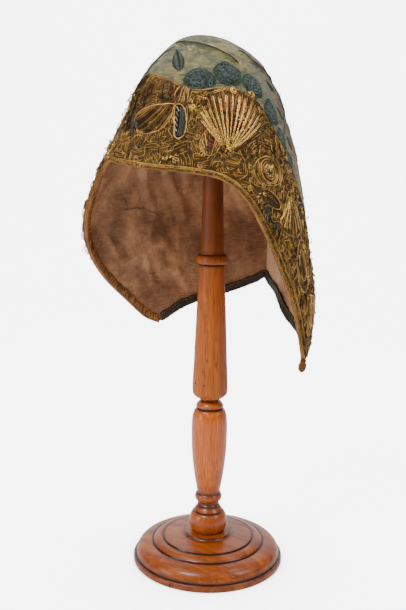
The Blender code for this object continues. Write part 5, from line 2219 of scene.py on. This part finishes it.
def add_lights():
    """The five lights and the faint light of the room."""
    for name, steps, target, size, power, colour in LIGHTS:
        add_light(name, steps, target, size, power * settings().light_power, colour)
    world = bpy.data.worlds.new("studio")
    world.use_nodes = True
    sky = world.node_tree.nodes["Background"]
    sky.inputs["Color"].default_value = (0.93, 0.95, 1, 1)
    sky.inputs["Strength"].default_value = 0.25
    bpy.context.scene.world = world


def add_camera():
    """The camera in front of the coif, turned to its side and a little above its middle."""
    data = bpy.data.cameras.new("camera")
    data.lens = 50
    data.sensor_width = 36
    data.sensor_fit = "VERTICAL"
    data.sensor_height = 36
    camera = bpy.data.objects.new("camera", data)
    camera.location = LOOK * -CAMERA_AWAY + RIGHT * CAMERA_ASIDE + UP * CAMERA_HEIGHT
    aim = Matrix.Rotation(CAMERA_TURN, 4, "Z") @ Matrix.Rotation(math.pi / 2 - CAMERA_TILT, 4, "X")
    camera.rotation_euler = (aim @ Matrix.Rotation(CAMERA_ROLL, 4, "Z")).to_euler()
    bpy.context.scene.collection.objects.link(camera)
    bpy.context.scene.camera = camera


# Settings, operators and panel


class CoifSettings(bpy.types.PropertyGroup):
    """The values that the panel shows"""

    fold_rise: FloatProperty(
        name="Fold rise",
        description="How far the folds of the cloth rise, as a share of their own",
        default=1.0,
        min=0.0,
        max=2.0,
        subtype="FACTOR",
    )
    thread_spacing: FloatProperty(
        name="Thread spacing",
        description="Distance between laid threads of the lace",
        default=0.0012,
        min=0.001,
        max=0.004,
        unit="LENGTH",
    )
    floor_colour: FloatVectorProperty(
        name="Floor colour",
        description="Colour of the paper floor and backdrop",
        subtype="COLOR",
        default=(0.84, 0.85, 0.87),
        min=0.0,
        max=1.0,
    )
    light_power: FloatProperty(
        name="Light",
        description="Strength of all the lights",
        default=1.0,
        min=0.0,
        max=4.0,
        subtype="FACTOR",
    )
    curls: IntProperty(
        name="Curls", description="How many small curls lie on the lace", default=110, min=0, max=400
    )


class COIF_OT_cloth(bpy.types.Operator):
    """Make the silk crown and its linen lining"""

    bl_idname = "coif.cloth"
    bl_label = "Silk and lining"

    def execute(self, context):
        silk, lining = add_silk(), add_lining()
        add_lining_seam()
        return {"FINISHED"}


class COIF_OT_bindings(bpy.types.Operator):
    """Make the tape, the ribbon and the wound knob of the rim"""

    bl_idname = "coif.bindings"
    bl_label = "Bindings"

    def execute(self, context):
        add_face_tape()
        add_nape_ribbon()
        add_knob()
        add_tape_stitches()
        return {"FINISHED"}


class COIF_OT_lace(bpy.types.Operator):
    """Make the metal-thread lace: net, strands, motifs and edge"""

    bl_idname = "coif.lace"
    bl_label = "Lace"

    def execute(self, context):
        chart = build_chart()
        settle_borders(chart)
        add_lace_net()
        add_lace_threads(chart)
        add_lace_motifs(chart)
        add_sparkle()
        add_slit_work()
        add_edge_braid()
        return {"FINISHED"}


class COIF_OT_needlework(bpy.types.Operator):
    """Sew the silk blossoms, stems and leaves"""

    bl_idname = "coif.needlework"
    bl_label = "Needlework"

    def execute(self, context):
        add_needlework()
        add_stray_threads()
        return {"FINISHED"}


class COIF_OT_stand(bpy.types.Operator):
    """Turn the stand's foot, baluster and post"""

    bl_idname = "coif.stand"
    bl_label = "Stand"

    def execute(self, context):
        add_stand()
        add_wood_marks()
        return {"FINISHED"}


class COIF_OT_stage(bpy.types.Operator):
    """Set the paper backdrop, the lights and the camera"""

    bl_idname = "coif.stage"
    bl_label = "Stage"

    def execute(self, context):
        add_backdrop()
        add_lights()
        add_camera()
        return {"FINISHED"}


class COIF_PT_panel(bpy.types.Panel):
    """Everything that makes the coif and its stand"""

    bl_label = "Coif"
    bl_space_type = "VIEW_3D"
    bl_region_type = "UI"
    bl_category = "Coif"

    def draw(self, context):
        chosen = context.scene.coif
        for name in ("fold_rise", "thread_spacing", "curls", "floor_colour", "light_power"):
            self.layout.prop(chosen, name)
        for operator in OPERATORS:
            self.layout.operator(operator.bl_idname)


OPERATORS = (COIF_OT_cloth, COIF_OT_bindings, COIF_OT_lace, COIF_OT_needlework, COIF_OT_stand, COIF_OT_stage)
CLASSES = (CoifSettings, *OPERATORS, COIF_PT_panel)


def register():
    """Adds the settings, the operators and the panel."""
    for kind in CLASSES:
        bpy.utils.register_class(kind)
    bpy.types.Scene.coif = PointerProperty(type=CoifSettings)


def unregister():
    """Takes the settings, the operators and the panel away."""
    del bpy.types.Scene.coif
    for kind in reversed(CLASSES):
        bpy.utils.unregister_class(kind)


def main():
    """Makes the coif, its stand and the stage."""
    register()
    bpy.ops.coif.cloth()
    bpy.ops.coif.bindings()
    bpy.ops.coif.lace()
    bpy.ops.coif.needlework()
    bpy.ops.coif.stand()
    bpy.ops.coif.stage()


if __name__ == "__main__":
    main()
